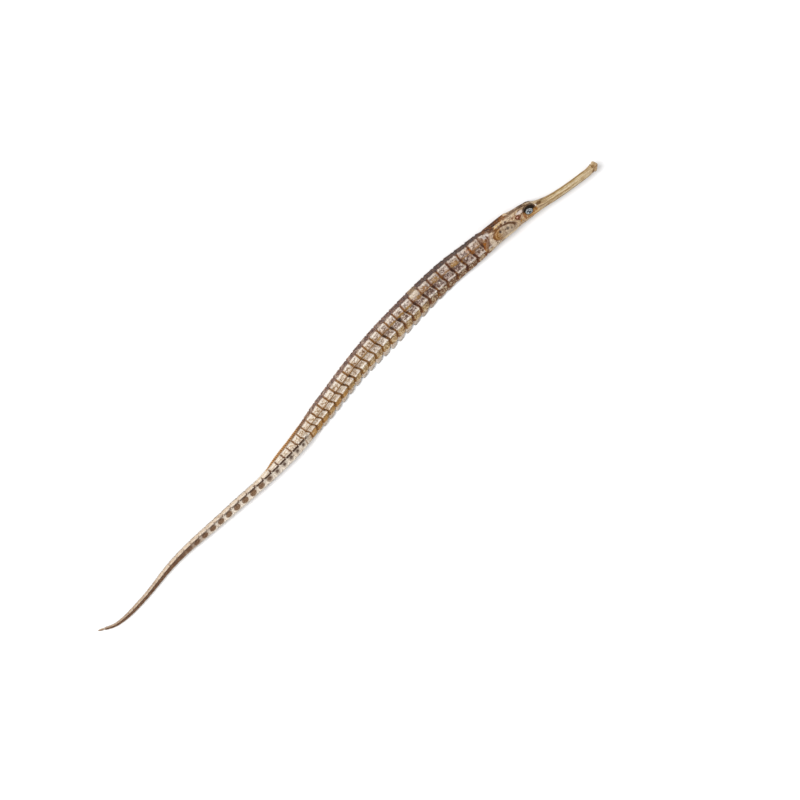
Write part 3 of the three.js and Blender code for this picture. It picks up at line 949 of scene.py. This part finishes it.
def skinMaterial():
    material, s, surface = newMaterial("driedSkin")
    station, ring, face, high = s.mark("station"), s.mark("ring"), s.mark("face"), s.mark("high")
    fine = s.noise(skinLook["fine"], 3.0, 0.7)
    mottle = s.noise(skinLook["mottle"], 4.0, 0.66)
    hazy = s.noise(skinLook["hazy"], 3.0, 0.6)
    phase = s.maths("FRACT", ring)
    edge = s.fromBorder(phase)
    facing = s.fromBorder(s.maths("FRACT", face))
    uneven = s.plus(s.centred(mottle, 0.14), s.centred(hazy, 0.2))
    edgeWavy = s.plus(edge, uneven)
    faceWavy = s.plus(face, s.centred(mottle, 0.3))

    isArmour = s.smooth(station, *skinLook["armourStarts"])
    isTrunk = s.smooth(station, *skinLook["tailStarts"], 1.0, 0.0)
    isTail = s.flip(isTrunk)
    rearTail = s.smooth(station, *skinLook["rearTailStarts"])
    isSnout = s.smooth(station, *skinLook["snoutEnds"], 1.0, 0.0)

    # pale and dark skin mottled together, darkest in the middle of each plate
    middle = s.times(s.smooth(edge, 0.1, 0.26), s.smooth(facing, 0.06, 0.24))
    grain = s.plus(mottle, s.centred(fine, 0.9))
    lean = s.smooth(station, 84.0, 112.0, 0.06, 0.01)
    patches = s.smooth(s.plus(grain, lean), 0.48, 0.55)
    onPlate = s.times(patches, s.scaled(middle, 0.35, 0.6))
    upperShare = s.times(s.smooth(face, 3.0, 3.25), s.smooth(station, 96.0, 114.0, -0.14, 0.12))
    lowerShare = s.times(s.smooth(face, 3.0, 2.75), s.smooth(station, 90.0, 112.0, 0.0, -0.25))
    onPlate = s.times(onPlate, s.plus(s.plus(upperShare, lowerShare), 1.0))
    toTail = s.smooth(station, 78.0, 125.0, 0.95, 0.25)
    plum = s.times(toTail, s.smooth(s.noise(skinLook["plum"], 3.0, 0.6), 0.4, 0.54))
    plum = s.times(plum, isArmour, s.smooth(face, 3.0, 3.25, 1.0, 0.6))
    onHead = s.smooth(s.plus(grain, s.smooth(station, 22.0, 30.0, -0.05, -0.02)), 0.45, 0.6)
    dark = s.plus(s.times(isArmour, onPlate), s.times(s.flip(isArmour), onHead, s.flip(isSnout)))
    streak = s.noise(1.0, 4.0, 0.7, s.vector(s.times(station, 0.3), s.times(face, 6.5), 0.0))
    dark = s.plus(dark, s.times(isSnout, s.smooth(streak, 0.46, 0.56)))
    light = s.mix(s.times(plum, isTrunk), bandColours(s, station, "light"), (180, 154, 142))
    colour = s.mix(dark, light, bandColours(s, station, "dark"))

    tinted = s.times(isArmour, isTrunk, s.smooth(s.noise(skinLook["tinted"], 3.0, 0.65), 0.5, 0.6), 0.5)
    colour = s.mix(tinted, colour, (214, 186, 142), "MULTIPLY")

    # pale chalky skin with painted highlight along the ridges and along the front of each ring
    onRidge = s.most(s.band(faceWavy, 1.9, 2.14, 0.06), s.band(faceWavy, 3.7, 3.92, 0.06))
    front = s.band(s.plus(phase, s.centred(mottle, 0.12)), 0.1, 0.2, 0.04)
    # the pale mark is part chalky skin and part painted highlight
    chalkAndHighlight = s.most(s.times(front, s.smooth(hazy, 0.4, 0.6, 0.9, 0.3)), onRidge)
    chalkAndHighlight = s.times(chalkAndHighlight, isArmour, s.smooth(fine, 0.4, 0.54))
    colour = s.paint(colour, (244, 236, 226), chalkAndHighlight, s.smooth(station, 62.0, 96.0, 0.6, 0.92))

    # brown dashes along the lateral ridge of the trunk
    lateral = s.times(s.band(faceWavy, 2.86, 3.08, 0.07), isTrunk, isArmour, s.smooth(edge, 0.02, 0.12))
    brownish = s.smooth(station, 86.0, 112.0, 0.8, 0.95)
    colour = s.paint(colour, (142, 98, 42), lateral, brownish)

    # belly side with its ochre skin, and the orange stain before the vent
    bellyMask = s.times(s.smooth(faceWavy, 1.92, 1.82), isArmour)
    colour = s.paint(colour, bandColours(s, station, "belly"), bellyMask)
    bellyPale = s.times(bellyMask, isTrunk, s.smooth(grain, 0.53, 0.6), 0.8)
    colour = s.paint(colour, (224, 206, 174), bellyPale)
    bellyDark = s.times(bellyMask, isTrunk, s.smooth(grain, 0.47, 0.4), 0.75)
    colour = s.paint(colour, (96, 60, 32), bellyDark)
    orange = s.times(bellyMask, s.band(station, 122.0, 143.5, 3.0), s.smooth(s.plus(hazy, grain), 0.88, 1.04), 0.8)
    colour = s.paint(colour, (184, 130, 54), orange)

    # tail: a row of brown cells in white frames, dark dashes above them, solid brown further back
    x = s.centred(phase, 2.75)
    y = s.scaled(face, 2.5, -3.75)
    cell, small = s.smooth(s.reach(x, y), 1.2, 0.8), s.smooth(s.reach(x, y), 0.75, 0.3)
    cellRow = s.times(isTail, s.smooth(station, 145.0, 149.0), s.band(face, 1.0, 1.98, 0.05))
    cellFrame = s.mix(rearTail, (234, 222, 206), (122, 88, 60))
    cellGrey = s.mix(small, (196, 182, 166), (90, 70, 58))
    cellFill = s.mix(s.smooth(station, 160.0, 172.0), cellGrey, (122, 92, 66))
    cellFill = s.paint(cellFill, (104, 72, 50), rearTail)
    colour = s.paint(colour, s.mix(cell, cellFrame, cellFill), cellRow, 0.97)
    dash = s.times(isTail, s.band(faceWavy, 1.76, 2.22, 0.08), s.smooth(edge, 0.0, 0.1))
    dash = s.times(dash, s.smooth(station, 143.0, 148.0), s.smooth(station, 172.0, 190.0, 1.0, 0.7))
    colour = s.paint(colour, (70, 44, 26), dash)
    thinLine = s.times(isTail, s.band(faceWavy, 3.0, 3.14, 0.06), s.smooth(fine, 0.4, 0.52), 0.6)
    colour = s.paint(colour, (150, 112, 74), thinLine)
    lowEdge = s.times(isTail, s.band(face, 0.75, 1.1, 0.08), s.flip(rearTail))
    colour = s.paint(colour, (206, 195, 180), lowEdge, 0.75)

    # grooves between the rings: brown skin with painted shade, widest and darkest beside the lateral ridge and on
    # the belly side
    wide = s.plus(s.times(s.band(face, 2.5, 3.05, 0.25), 0.035), s.times(s.smooth(face, 2.05, 1.8), isTrunk, 0.05))
    fromEdge = s.minus(edgeWavy, wide)
    offCells = s.scaled(cellRow, -0.85, 1.0)
    offKeel = s.smooth(face, 0.9, 1.05)
    plated = s.times(isArmour, offKeel, offCells)
    # painted shade: a soft darker band beside each groove, multiplied into the colour
    grooveShade = s.times(plated, s.smooth(fromEdge, 0.2, 0.06), s.smooth(station, 143.0, 170.0, 0.6, 0.2))
    colour = s.mix(grooveShade, colour, (178, 140, 96), "MULTIPLY")
    # the grooves themselves: brown skin and painted shade together
    grooveSkinAndShade = s.times(plated, s.smooth(fromEdge, 0.11, 0.04), s.smooth(station, 150.0, 205.0, 0.95, 0.5))
    grooveSkinAndShade = s.times(grooveSkinAndShade, s.smooth(station, 50.0, 54.0, 0.35, 1.0))
    colour = s.paint(colour, bandColours(s, station, "groove"), grooveSkinAndShade)
    rusty = s.times(grooveSkinAndShade, isTrunk, s.smooth(hazy, 0.5, 0.6), 0.7)
    colour = s.paint(colour, (148, 98, 28), rusty)
    # painted shade, in patches, in the grooves just below the lateral ridge
    underRidgeShade = s.times(grooveSkinAndShade, isTrunk, s.band(faceWavy, 2.3, 2.95, 0.15), s.smooth(hazy, 0.54, 0.46), 0.85)
    colour = s.paint(colour, (48, 26, 20), underRidgeShade)

    # dark back between the two upper ridges
    backMask = s.times(s.smooth(faceWavy, 3.9, 4.0), s.smooth(station, 37.5, 39.0))
    colour = s.paint(colour, bandColours(s, station, "back"), backMask)
    backDark = s.times(backMask, isTrunk)
    colour = s.paint(colour, (46, 24, 16), backDark, s.smooth(grain, 0.48, 0.4), 0.85)
    flecked = s.times(backDark, s.smooth(grain, 0.52, 0.6), s.smooth(station, 60.0, 110.0, 0.38, 0.85))
    fleckTint = s.mix(s.smooth(station, 44.0, 52.0), (176, 116, 48), (174, 136, 114))
    colour = s.paint(colour, fleckTint, flecked)
    saddle = s.times(backDark, s.smooth(station, 84.0, 96.0), s.smooth(edge, 0.22, 0.4))
    saddle = s.times(saddle, s.smooth(hazy, 0.44, 0.56), 0.5)
    colour = s.paint(colour, (204, 182, 162), saddle)
    backDash = s.times(backMask, isTail, s.band(face, 4.3, 4.75, 0.1), s.smooth(grain, 0.44, 0.6), 0.6)
    colour = s.paint(colour, (176, 146, 118), backDash)

    # translucent grey keel
    keelMask = s.times(s.smooth(face, 1.0, 0.9), isArmour)
    colour = s.paint(colour, bandColours(s, station, "keel"), keelMask)
    colour = s.paint(colour, (226, 220, 212), keelMask, s.smooth(face, 0.35, 0.0), 0.6)

    # stains and marks
    onFlank = s.smooth(face, 4.95, 4.6)
    drift = s.plus(station, s.centred(mottle, 1.2))
    for *oval, tint, strength in flankMarks:
        colour = s.paint(colour, tint, spot(s, drift, high, *oval), strength, onFlank)
    broken = s.smooth(grain, 0.42, 0.54, 0.25, 1.0)
    for *oval, tint, strength in ridgeMarks:
        colour = s.paint(colour, tint, spot(s, ring, faceWavy, *oval), broken, strength)
    nape = s.times(s.band(drift, 37.9, 39.1, 0.3), s.smooth(face, 4.3, 4.5), 0.9)
    colour = s.paint(colour, (216, 186, 150), nape)
    lipGroove = s.times(s.band(station, 2.2, 2.42, 0.08), 0.8)
    colour = s.paint(colour, (106, 72, 38), lipGroove)
    slit = s.times(s.smooth(station, 2.1, 1.7), s.band(high, 0.25, 0.5, 0.08), 0.8)
    colour = s.paint(colour, (120, 84, 52), slit)

    striae = s.noise(1.0, 2.0, 0.6, s.vector(s.times(ring, 30.0), s.times(face, 1.2), 0.0))
    finishDried(
        s, surface, colour, (s.smooth(station, 24.0, 34.0, 0.2, 0.5), 0.22, 0.25),
        s.smooth(mottle, 0.35, 0.65, 0.42, 0.72), 0.16, 0.6, (0.8, 0.0004),
        s.times(striae, isArmour, 0.7), s.times(streak, isSnout, 0.9),
    )
    return material


bodyPiece = bodySkin()
standFor(bodyPiece, skinMaterial())
print("body skin", len(bodyPiece.data.polygons), "faces")


def polarLens(name, centre, half, tilt, side, lift, turns=72, rings=24, under=0.35, onFlank=True, oval=2.0):
    # a closed lens over an oval on the flank; lift(radius, turn) is its height in mm
    turn = np.radians(tilt)
    angles = np.linspace(0, math.tau, turns, endpoint=False)
    radii = np.linspace(0, 1, rings + 1)[1:]
    shape = (np.abs(np.cos(angles)) ** oval + np.abs(np.sin(angles)) ** oval) ** (-1 / oval)
    grids = []
    for face in ("outer", "inner"):
        r, a = np.meshgrid(radii, angles, indexing="ij")
        run = half[0] * r * shape[None, :] * np.cos(a)
        rise = half[1] * r * shape[None, :] * np.sin(a)
        station = centre[0] + run * np.cos(turn) - rise * np.sin(turn)
        high = centre[2] + run * np.sin(turn) + rise * np.cos(turn)
        base = flankWidth(station, high) if onFlank else centre[1] + 0 * station
        out = base + (lift(r, a) if face == "outer" else -under * (1 - 0.2 * r))
        grids.append((station, out * side, high, r, a))
    middle = []
    for face in ("outer", "inner"):
        base = float(flankWidth(np.array(centre[0]), np.array(centre[2]))) if onFlank else centre[1]
        out = base + (float(lift(np.array(0.0), np.array(0.0))) if face == "outer" else -under)
        middle.append((centre[0], out * side, centre[2], 0.0, 0.0))
    station, across, high, radius, angle = [
        np.concatenate([grids[0][k].ravel(), grids[1][k].ravel(), [middle[0][k], middle[1][k]]]) for k in range(5)
    ]
    size = rings * turns
    faces = []
    for k in (0, 1):
        faces += gridFaces(rings, turns, k * size, turned=k == 0)
        for i in range(turns):
            tri = (2 * size + k, k * size + (i + 1) % turns, k * size + i)
            faces.append(tri if k else tri[::-1])
    rim = (rings - 1) * turns
    for i in range(turns):
        j = (i + 1) % turns
        faces.append((size + rim + i, size + rim + j, rim + j, rim + i))
    marks = {"lensX": radius * np.cos(angle), "lensY": radius * np.sin(angle)}
    return makeMesh(name, place(station, across, high), faces, marks)


def eyeLift(r, a):
    far = np.hypot(r * np.cos(a) - eye["lensAt"][0], r * np.sin(a) - eye["lensAt"][1])
    dome = eye["bulge"] * np.sqrt(np.clip(1 - eye["domeEdge"] * r ** 2, 0, 1)) - eye["sink"]
    lens = eye["lensBulge"] * np.sqrt(np.clip(1 - (far / eye["lensSize"]) ** 2, 0, 1))
    lift, outside, width = eye["ditch"]
    return dome * eye["driedFlat"] + lens + lift * hill(far, eye["lensSize"] + outside, width)


def eyeMaterial():
    material, s, surface = newMaterial("driedEye")
    lensX, lensY = s.mark("lensX"), s.mark("lensY")
    radius = s.reach(lensX, lensY)
    x, y = s.plus(lensX, -eye["lensAt"][0]), s.plus(lensY, -eye["lensAt"][1])
    far = s.reach(x, y)
    cloud = s.noise(1.0, 4.0, 0.7, s.vector(s.times(x, 6.0), s.times(y, 6.0)))
    lens = s.mix(s.smooth(cloud, 0.44, 0.58), (58, 76, 92), (206, 210, 210))
    cracks = s.cells(1.0, s.vector(s.times(x, 2.6), s.times(y, 3.6), 3.1), "DISTANCE_TO_EDGE")
    lens = s.paint(lens, (18, 26, 36), s.smooth(cracks, 0.2, 0.05), s.smooth(far, 0.6, 0.25))
    lens = s.paint(lens, (96, 104, 96), s.smooth(far, 0.4, 0.6), s.smooth(cloud, 0.6, 0.4))
    colour = s.mix(s.smooth(far, eye["lensSize"] - 0.14, eye["lensSize"] - 0.02), lens, (26, 18, 8))
    rim = s.times(s.smooth(s.plus(far, s.times(cloud, 0.2)), 0.74, 0.86), s.smooth(y, 0.3, -0.1))
    colour = s.paint(colour, (146, 104, 52), rim)
    upper = s.times(s.smooth(radius, 0.9, 1.0), s.smooth(y, 0.2, 0.6), 0.7)
    colour = s.paint(colour, (70, 50, 34), upper)
    rough, shine = s.smooth(far, 0.5, 0.7, 0.2, 0.6), s.smooth(far, 0.5, 0.7, 0.4, 0.08)
    finishDried(s, surface, colour, (0.2, 0.03, 0.0), rough, shine, 0.2, (0.25, 0.0001))
    return material


eyeFinish = eyeMaterial()
for side, label in bothSides:
    piece = polarLens("eye" + label, eye["at"], eye["half"], 0, side, eyeLift, under=eye["under"], onFlank=False)
    standFor(piece, eyeFinish)
print("eyes")


def orbitRim(name, side):
    # the bony rim of an eye, thickest at the brow
    angles = np.linspace(0, math.tau, orbit["around"], endpoint=False)[:, None]
    cross = np.linspace(0, math.tau, orbit["cross"], endpoint=False)[None, :]
    top = np.clip(np.sin(angles), 0, 1)
    foot, brow = orbit["thickness"]
    share, waves, turn = orbit["uneven"]
    thick = orbit["thick"] * (foot + brow * top ** 2) * (1 + share * np.sin(angles * waves + turn))
    reach = 1 + thick * np.cos(cross) / orbit["width"]
    run = orbit["half"][0] * np.cos(angles) * reach
    rise = orbit["half"][1] * np.sin(angles) * reach
    station, high = eye["at"][0] + run, eye["at"][2] + rise
    out = rimBase(station, high) + orbit["brow"] * top ** 2 + thick * np.sin(cross) * orbit["roundness"]
    rows, around = station.shape
    station, high, out = [np.broadcast_to(v, (rows, around)) for v in (station, high, out)]
    points = place(station, out * side, high).reshape(-1, 3)
    marks = {"up": np.broadcast_to(np.sin(angles), (rows, around))}
    return makeMesh(name, points, gridFaces(rows, around, roundRows=True), marks)


def rimMaterial():
    material, s, surface = newMaterial("driedRim")
    colour = s.ramp(s.mark("up"), [
        (-1, 170, 130, 76), (-0.3, 138, 90, 36), (0.2, 80, 50, 24), (0.7, 58, 40, 22), (1, 92, 66, 40),
    ], -1.0, 1.0)
    finishDried(s, surface, colour, (0.5, 0.35, 0.2), 0.58, 0.16, 0.6, (0.5, 0.00012))
    return material


rimFinish = rimMaterial()
for side, label in bothSides:
    standFor(orbitRim("eyeRim" + label, side), rimFinish)
print("eye rims")

gill = {
    "at": (41, 0, -0.72),
    "half": (5.9, 2.95),
    "tilt": 7,
    "plateAt": (0.14, -0.04),      # the plate inside its skin, as shares of the half sizes
    "plateHalf": (0.83, 0.88),
    "skin": (0.12, -0.2),          # lift of the skin round the plate, and what its edge sinks
    "dome": 0.42,
    "domeShape": (2.4, 0.8),
    "edge": 0.14,
    "rimLift": 0.08,
    "rimAt": 0.92,
    "rays": 34,
    "rayLift": 0.016,
    "hinge": (-0.62, 0.1),         # rays fan out from here
    "arc": 0.69,                   # a raised arc on the rear half, and a sunken one outside it
    "arcStep": 0.1,
    "arcLift": 0.05,
    "lineWidth": 0.05,
    "grid": (160, 48),
    "oval": 2.15,                  # 2 is a true oval, more is squarer
    "dots": [                      # dark dots, as (along, up, size, strength) in shares of the half sizes
        (0.42, 0.3, 0.1, 0.95), (-0.1, 0.22, 0.12, 0.8), (0.06, 0.24, 0.07, 0.7), (-0.34, 0.0, 0.1, 0.6),
    ],
}


def gillLift(r, a):
    x, y = r * np.cos(a), r * np.sin(a)
    plate = np.hypot(*[(v - at) / half for v, at, half in zip((x, y), gill["plateAt"], gill["plateHalf"])])
    fromHinge = np.arctan2(y - gill["hinge"][1], x - gill["hinge"][0])
    reach = np.hypot(x - gill["hinge"][0], y - gill["hinge"][1])
    full, crown = gill["domeShape"]
    dome = gill["dome"] * np.clip(1 - plate ** full, 0, 1) ** crown + gill["edge"] * (1 - step(plate, 0.95, 1.02))
    rays = gill["rayLift"] * np.sin(fromHinge * gill["rays"]) * step(reach, 0.2, 0.6) * (1 - r ** 6)
    raised, sunken, rim = [
        hill(plate, at, gill["lineWidth"]) for at in (gill["arc"], gill["arc"] + gill["arcStep"], gill["rimAt"])
    ]
    arcs = gill["arcLift"] * step(x, 0.2, 0.5) * (raised - sunken)
    lift, sink = gill["skin"]
    return lift + sink * r ** 4 + dome + rays + arcs + gill["rimLift"] * rim


def gillMaterial():
    material, s, surface = newMaterial("driedGillCover")
    x, y = s.mark("lensX"), s.mark("lensY")
    across, up = [
        s.maths("DIVIDE", s.minus(v, at), half) for v, at, half in zip((x, y), gill["plateAt"], gill["plateHalf"])
    ]
    plate = s.reach(across, up)
    plate = s.plus(plate, s.centred(s.noise(900.0, 3.0), 0.14))
    patchy = s.noise(1000.0, 4.0, 0.66)
    ray = s.maths("ARCTAN2", s.minus(y, gill["hinge"][1]), s.minus(x, gill["hinge"][0]))
    lines = s.maths("SINE", s.times(ray, float(gill["rays"])))
    colour = s.ramp(x, [
        (-1, 172, 146, 114), (-0.3, 166, 146, 122), (0.3, 150, 128, 102), (0.55, 144, 106, 54), (1, 138, 92, 26),
    ], -1.0, 1.0)
    colour = s.paint(colour, (212, 196, 172), s.smooth(lines, 0.1, 0.9), 0.2)
    colour = s.paint(colour, (108, 82, 56), s.smooth(lines, -0.3, -0.9), 0.22)
    colour = s.paint(colour, (124, 96, 68), s.smooth(patchy, 0.5, 0.6), 0.5)
    colour = s.paint(colour, (202, 184, 160), s.smooth(patchy, 0.47, 0.38), 0.5)
    low = s.times(s.smooth(up, -0.5, -0.72), s.smooth(x, 0.6, 0.3), 0.85)
    colour = s.paint(colour, (208, 184, 146), low)
    rear = s.smooth(x, 0.25, 0.5)
    inner = s.times(s.band(plate, gill["arc"] - 0.06, gill["arc"] + 0.06, 0.03), rear, 0.95)
    colour = s.paint(colour, (124, 78, 8), inner)
    between = s.times(s.band(plate, gill["arc"] + 0.09, 0.85, 0.04), rear, 0.75)
    colour = s.paint(colour, (170, 124, 58), between)
    outline = s.times(s.band(plate, 0.84, 1.07, 0.03), s.smooth(s.plus(up, s.times(x, 0.8)), -0.6, -0.2), 0.97)
    outlineTint = s.mix(s.smooth(x, 0.0, 0.6), (80, 46, 14), (108, 64, 6))
    colour = s.paint(colour, outlineTint, outline)
    outside = s.smooth(plate, 1.08, 1.14)
    nape = s.mix(s.smooth(patchy, 0.46, 0.56), (186, 158, 126), (104, 66, 34))
    colour = s.paint(colour, nape, outside, 0.95)
    for at, high, size, strength in gill["dots"]:
        far = s.plus(s.reach(s.minus(x, at), s.times(s.minus(y, high), 0.5)), s.times(patchy, 0.06))
        colour = s.paint(colour, (48, 28, 18), s.smooth(far, size * 1.4, size * 0.7), strength)
    rough = s.smooth(patchy, 0.3, 0.7, 0.42, 0.62)
    finishDried(s, surface, colour, (0.35, 0.12, 0.3), rough, 0.3, 0.4, (0.45, 0.0001), s.times(lines, 0.15))
    return material


gillFinish = gillMaterial()
for side, label in bothSides:
    piece = polarLens(
        "gillCover" + label, gill["at"], gill["half"], gill["tilt"], side, gillLift, *gill["grid"],
        oval=gill["oval"],
    )
    standFor(piece, gillFinish)
print("gill covers")


def finMaterial():
    # thin folded fins: ochre membrane, darker rays
    material, s, surface = newMaterial("driedFin")
    rays, reach = s.mark("rays"), s.mark("reach")
    lines = s.maths("SINE", s.times(rays, math.tau))
    base = s.ramp(reach, [(0, 92, 50, 20), (0.35, 140, 88, 28), (0.75, 172, 116, 40), (1, 186, 144, 84)])
    dark = s.mix(s.mark("start"), base, (104, 62, 38))
    colour = s.mix(s.times(s.smooth(lines, 0.0, 0.9), 0.8), dark, (70, 34, 12))
    colour = s.paint(colour, (206, 164, 110), s.smooth(lines, -0.2, -0.9), 0.35)
    finishDried(s, surface, colour, (0.4, 0.25, 0.3), 0.5, 0.5, 0.4, (0.5, 0.0001))
    return material


finFinish = finMaterial()

backFin = {
    "from": 137.6,
    "to": 164.6,
    "rays": 34,
    "thick": 0.17,
    "rayThick": 0.05,
    "taper": 0.55,                 # how much thinner its upper edge is
    "endThin": 0.35,
    "root": 0.5,
    "edge": [(137.6, 3.95), (145, 4.02), (152, 3.82), (160, 3.35), (164.6, 2.2)],
    "below": 0.02,
    "torn": 0.09,
    "bends": [(0.1, 17, 0), (0.05, 61, 1)],        # sideways, waves, turn
    "sweep": 0.5,                  # its upper edge lies further back
    "perRay": 8,
    "up": 9,
}


def backFinPiece():
    count = backFin["rays"] * backFin["perRay"]
    share = np.linspace(0, 1, count + 1)[:, None]
    up = np.linspace(0, 1, backFin["up"])[None, :]
    station = backFin["from"] + (backFin["to"] - backFin["from"]) * share
    foot = along(ridges["upperHeight"], station) - backFin["root"]
    edge = along(backFin["edge"], station) - backFin["below"]
    wave = np.cos(share * backFin["rays"] * math.tau)
    torn = backFin["torn"] * (0.5 + 0.5 * wave) * step(share, 0, 0.03) * (1 - step(share, 0.97, 1))
    high = foot + (edge - torn - foot) * up
    ends = backFin["endThin"] + (1 - backFin["endThin"]) * step(share, 0, 0.02) * (1 - step(share, 0.98, 1))
    half = (backFin["thick"] + backFin["rayThick"] * wave) * (1 - backFin["taper"] * up) * ends
    bend = sum(size * np.sin(share * waves + turn) * up for size, waves, turn in backFin["bends"])
    sweep = backFin["sweep"] * up + 0 * share
    rows, cols = high.shape
    points = np.concatenate([
        place(station + sweep, side * half + bend, high + 0 * share).reshape(-1, 3) for side in (1, -1)
    ])
    size = rows * cols
    faces = [quad for k in (0, 1) for quad in gridFaces(rows, cols, k * size, roundColumns=False, turned=k == 0)]
    rim = [r * cols for r in range(rows)] + [(rows - 1) * cols + c for c in range(1, cols)]
    rim += [r * cols + cols - 1 for r in range(rows - 2, -1, -1)] + [c for c in range(cols - 2, 0, -1)]
    for i, a in enumerate(rim):
        b = rim[(i + 1) % len(rim)]
        faces.append((a + size, b + size, b, a))
    both = np.concatenate([np.broadcast_to(share, (rows, cols)).ravel()] * 2)
    marks = {
        "rays": both * backFin["rays"],
        "reach": np.concatenate([np.broadcast_to(up, (rows, cols)).ravel()] * 2),
        "start": 0.85 * (1 - step(both, 0.18, 0.4)),
    }
    return makeMesh("backFin", points, faces, marks)


standFor(backFinPiece(), finFinish)

sideFin = {
    "at": (50, 2.95, -0.6),
    "half": (2.6, 0.62),
    "tilt": -45,
    "lift": 0.3,
    "under": 0.3,
    "rays": 6,
    "ribs": 0.05,
    "edge": 0.04,
    "grid": (64, 18),              # points round it, and from its middle to its edge
}


def sideFinLift(r, a):
    lengthways, fan = np.cos(a) * r, np.sin(a) * r
    ribs = sideFin["ribs"] * np.cos(fan * math.pi * sideFin["rays"])
    return (sideFin["lift"] * (1 - r ** 3) + ribs * (1 - r ** 4)) * (0.75 - 0.25 * lengthways) + sideFin["edge"]


for side, label in bothSides:
    piece = polarLens(
        "sideFin" + label, sideFin["at"], sideFin["half"], sideFin["tilt"], side, sideFinLift, *sideFin["grid"],
        under=sideFin["under"],
    )
    x, y = [np.array([v.value for v in piece.data.attributes[axis].data]) for axis in ("lensX", "lensY")]
    for markName, values in (("rays", y * sideFin["rays"] / 2), ("reach", 0.5 + 0.5 * x), ("start", 0.5 - 0.5 * x)):
        addMark(piece, markName, values)
    standFor(piece, finFinish)
print("fins")


stageLook = {
    "floorSize": 6.0,
    "floorDrop": 0.0001,
    "floorColour": (0.9, 0.9, 0.905, 1),
    "worldLight": 0.54,
    "key": ((-0.36, 0.3, 0.9), 0.7, 9.2),      # place in metres, size in metres, watts
    "fill": ((0.5, -0.5, 0.9), 1.0, 3.0),
}

floorMesh = bpy.data.meshes.new("floor")
half, drop = stageLook["floorSize"] / 2, -stageLook["floorDrop"]
floorCorners = [(-half, -half, drop), (half, -half, drop), (half, half, drop), (-half, half, drop)]
floorMesh.from_pydata(floorCorners, [], [(0, 1, 2, 3)])
floor = bpy.data.objects.new("floor", floorMesh)
scene.collection.objects.link(floor)
floorFinish, _, floorSurface = newMaterial("paleFloor")
for name, value in (("Base Color", stageLook["floorColour"]), ("Roughness", 0.9), ("Specular IOR Level", 0.0)):
    floorSurface.inputs[name].default_value = value
floorMesh.materials.append(floorFinish)

world = bpy.data.worlds.new("studio")
scene.world = world
world.use_nodes = True
sky = world.node_tree.nodes["Background"]
sky.inputs["Color"].default_value = (1, 1, 1, 1)
sky.inputs["Strength"].default_value = stageLook["worldLight"]

for name in ("key", "fill"):
    at, size, power = stageLook[name]
    lamp = bpy.data.lights.new(name, "AREA")
    lamp.size = size
    lamp.energy = power
    holder = bpy.data.objects.new(name, lamp)
    holder.location = at
    holder.rotation_euler = (-Vector(at)).to_track_quat("-Z", "Y").to_euler()
    scene.collection.objects.link(holder)

photo = {
    "pixels": 800,
    "mouth": (597.3, 163.8),       # where the mouth and the tail tip lie in the photograph, in pixels
    "tailTip": (97.8, 631.1),
    "lens": 150.0,
    "sensor": 36.0,
    "above": 0.003,                # metres that the camera stands higher, for the fish's own height
}


def aimCamera():
    # looks straight down, turned and placed so that the fish lies as in the photograph
    mouthAt = place(np.array(mouth["tip"]), 0.0, mouth["rise"])
    tailAt = place(np.array(bodyPath["tailTip"]), 0.0, 0.0)
    seen = np.array([photo["mouth"][0] - photo["tailTip"][0], photo["tailTip"][1] - photo["mouth"][1]])
    real = mouthAt[:2] - tailAt[:2]
    metresPerPixel = np.linalg.norm(real) / np.linalg.norm(seen)
    turn = math.atan2(real[1], real[0]) - math.atan2(seen[1], seen[0])
    c, sn = math.cos(turn), math.sin(turn)
    half = photo["pixels"] / 2
    off = np.array([half - photo["tailTip"][0], photo["tailTip"][1] - half]) * metresPerPixel
    centre = tailAt[:2] + np.array([c * off[0] - sn * off[1], sn * off[0] + c * off[1]])
    wide = photo["pixels"] * metresPerPixel
    camera = bpy.data.cameras.new("camera")
    camera.sensor_width = photo["sensor"]
    camera.lens = photo["lens"]
    camera.clip_start = 0.01
    camera.clip_end = 20
    holder = bpy.data.objects.new("camera", camera)
    holder.location = (centre[0], centre[1], wide * photo["lens"] / photo["sensor"] + photo["above"])
    holder.rotation_euler = (0, 0, turn)
    scene.collection.objects.link(holder)
    scene.camera = holder
    print("camera turned by", round(math.degrees(turn), 2), "degrees, frame", round(wide * 1000, 1), "mm wide")


aimCamera()

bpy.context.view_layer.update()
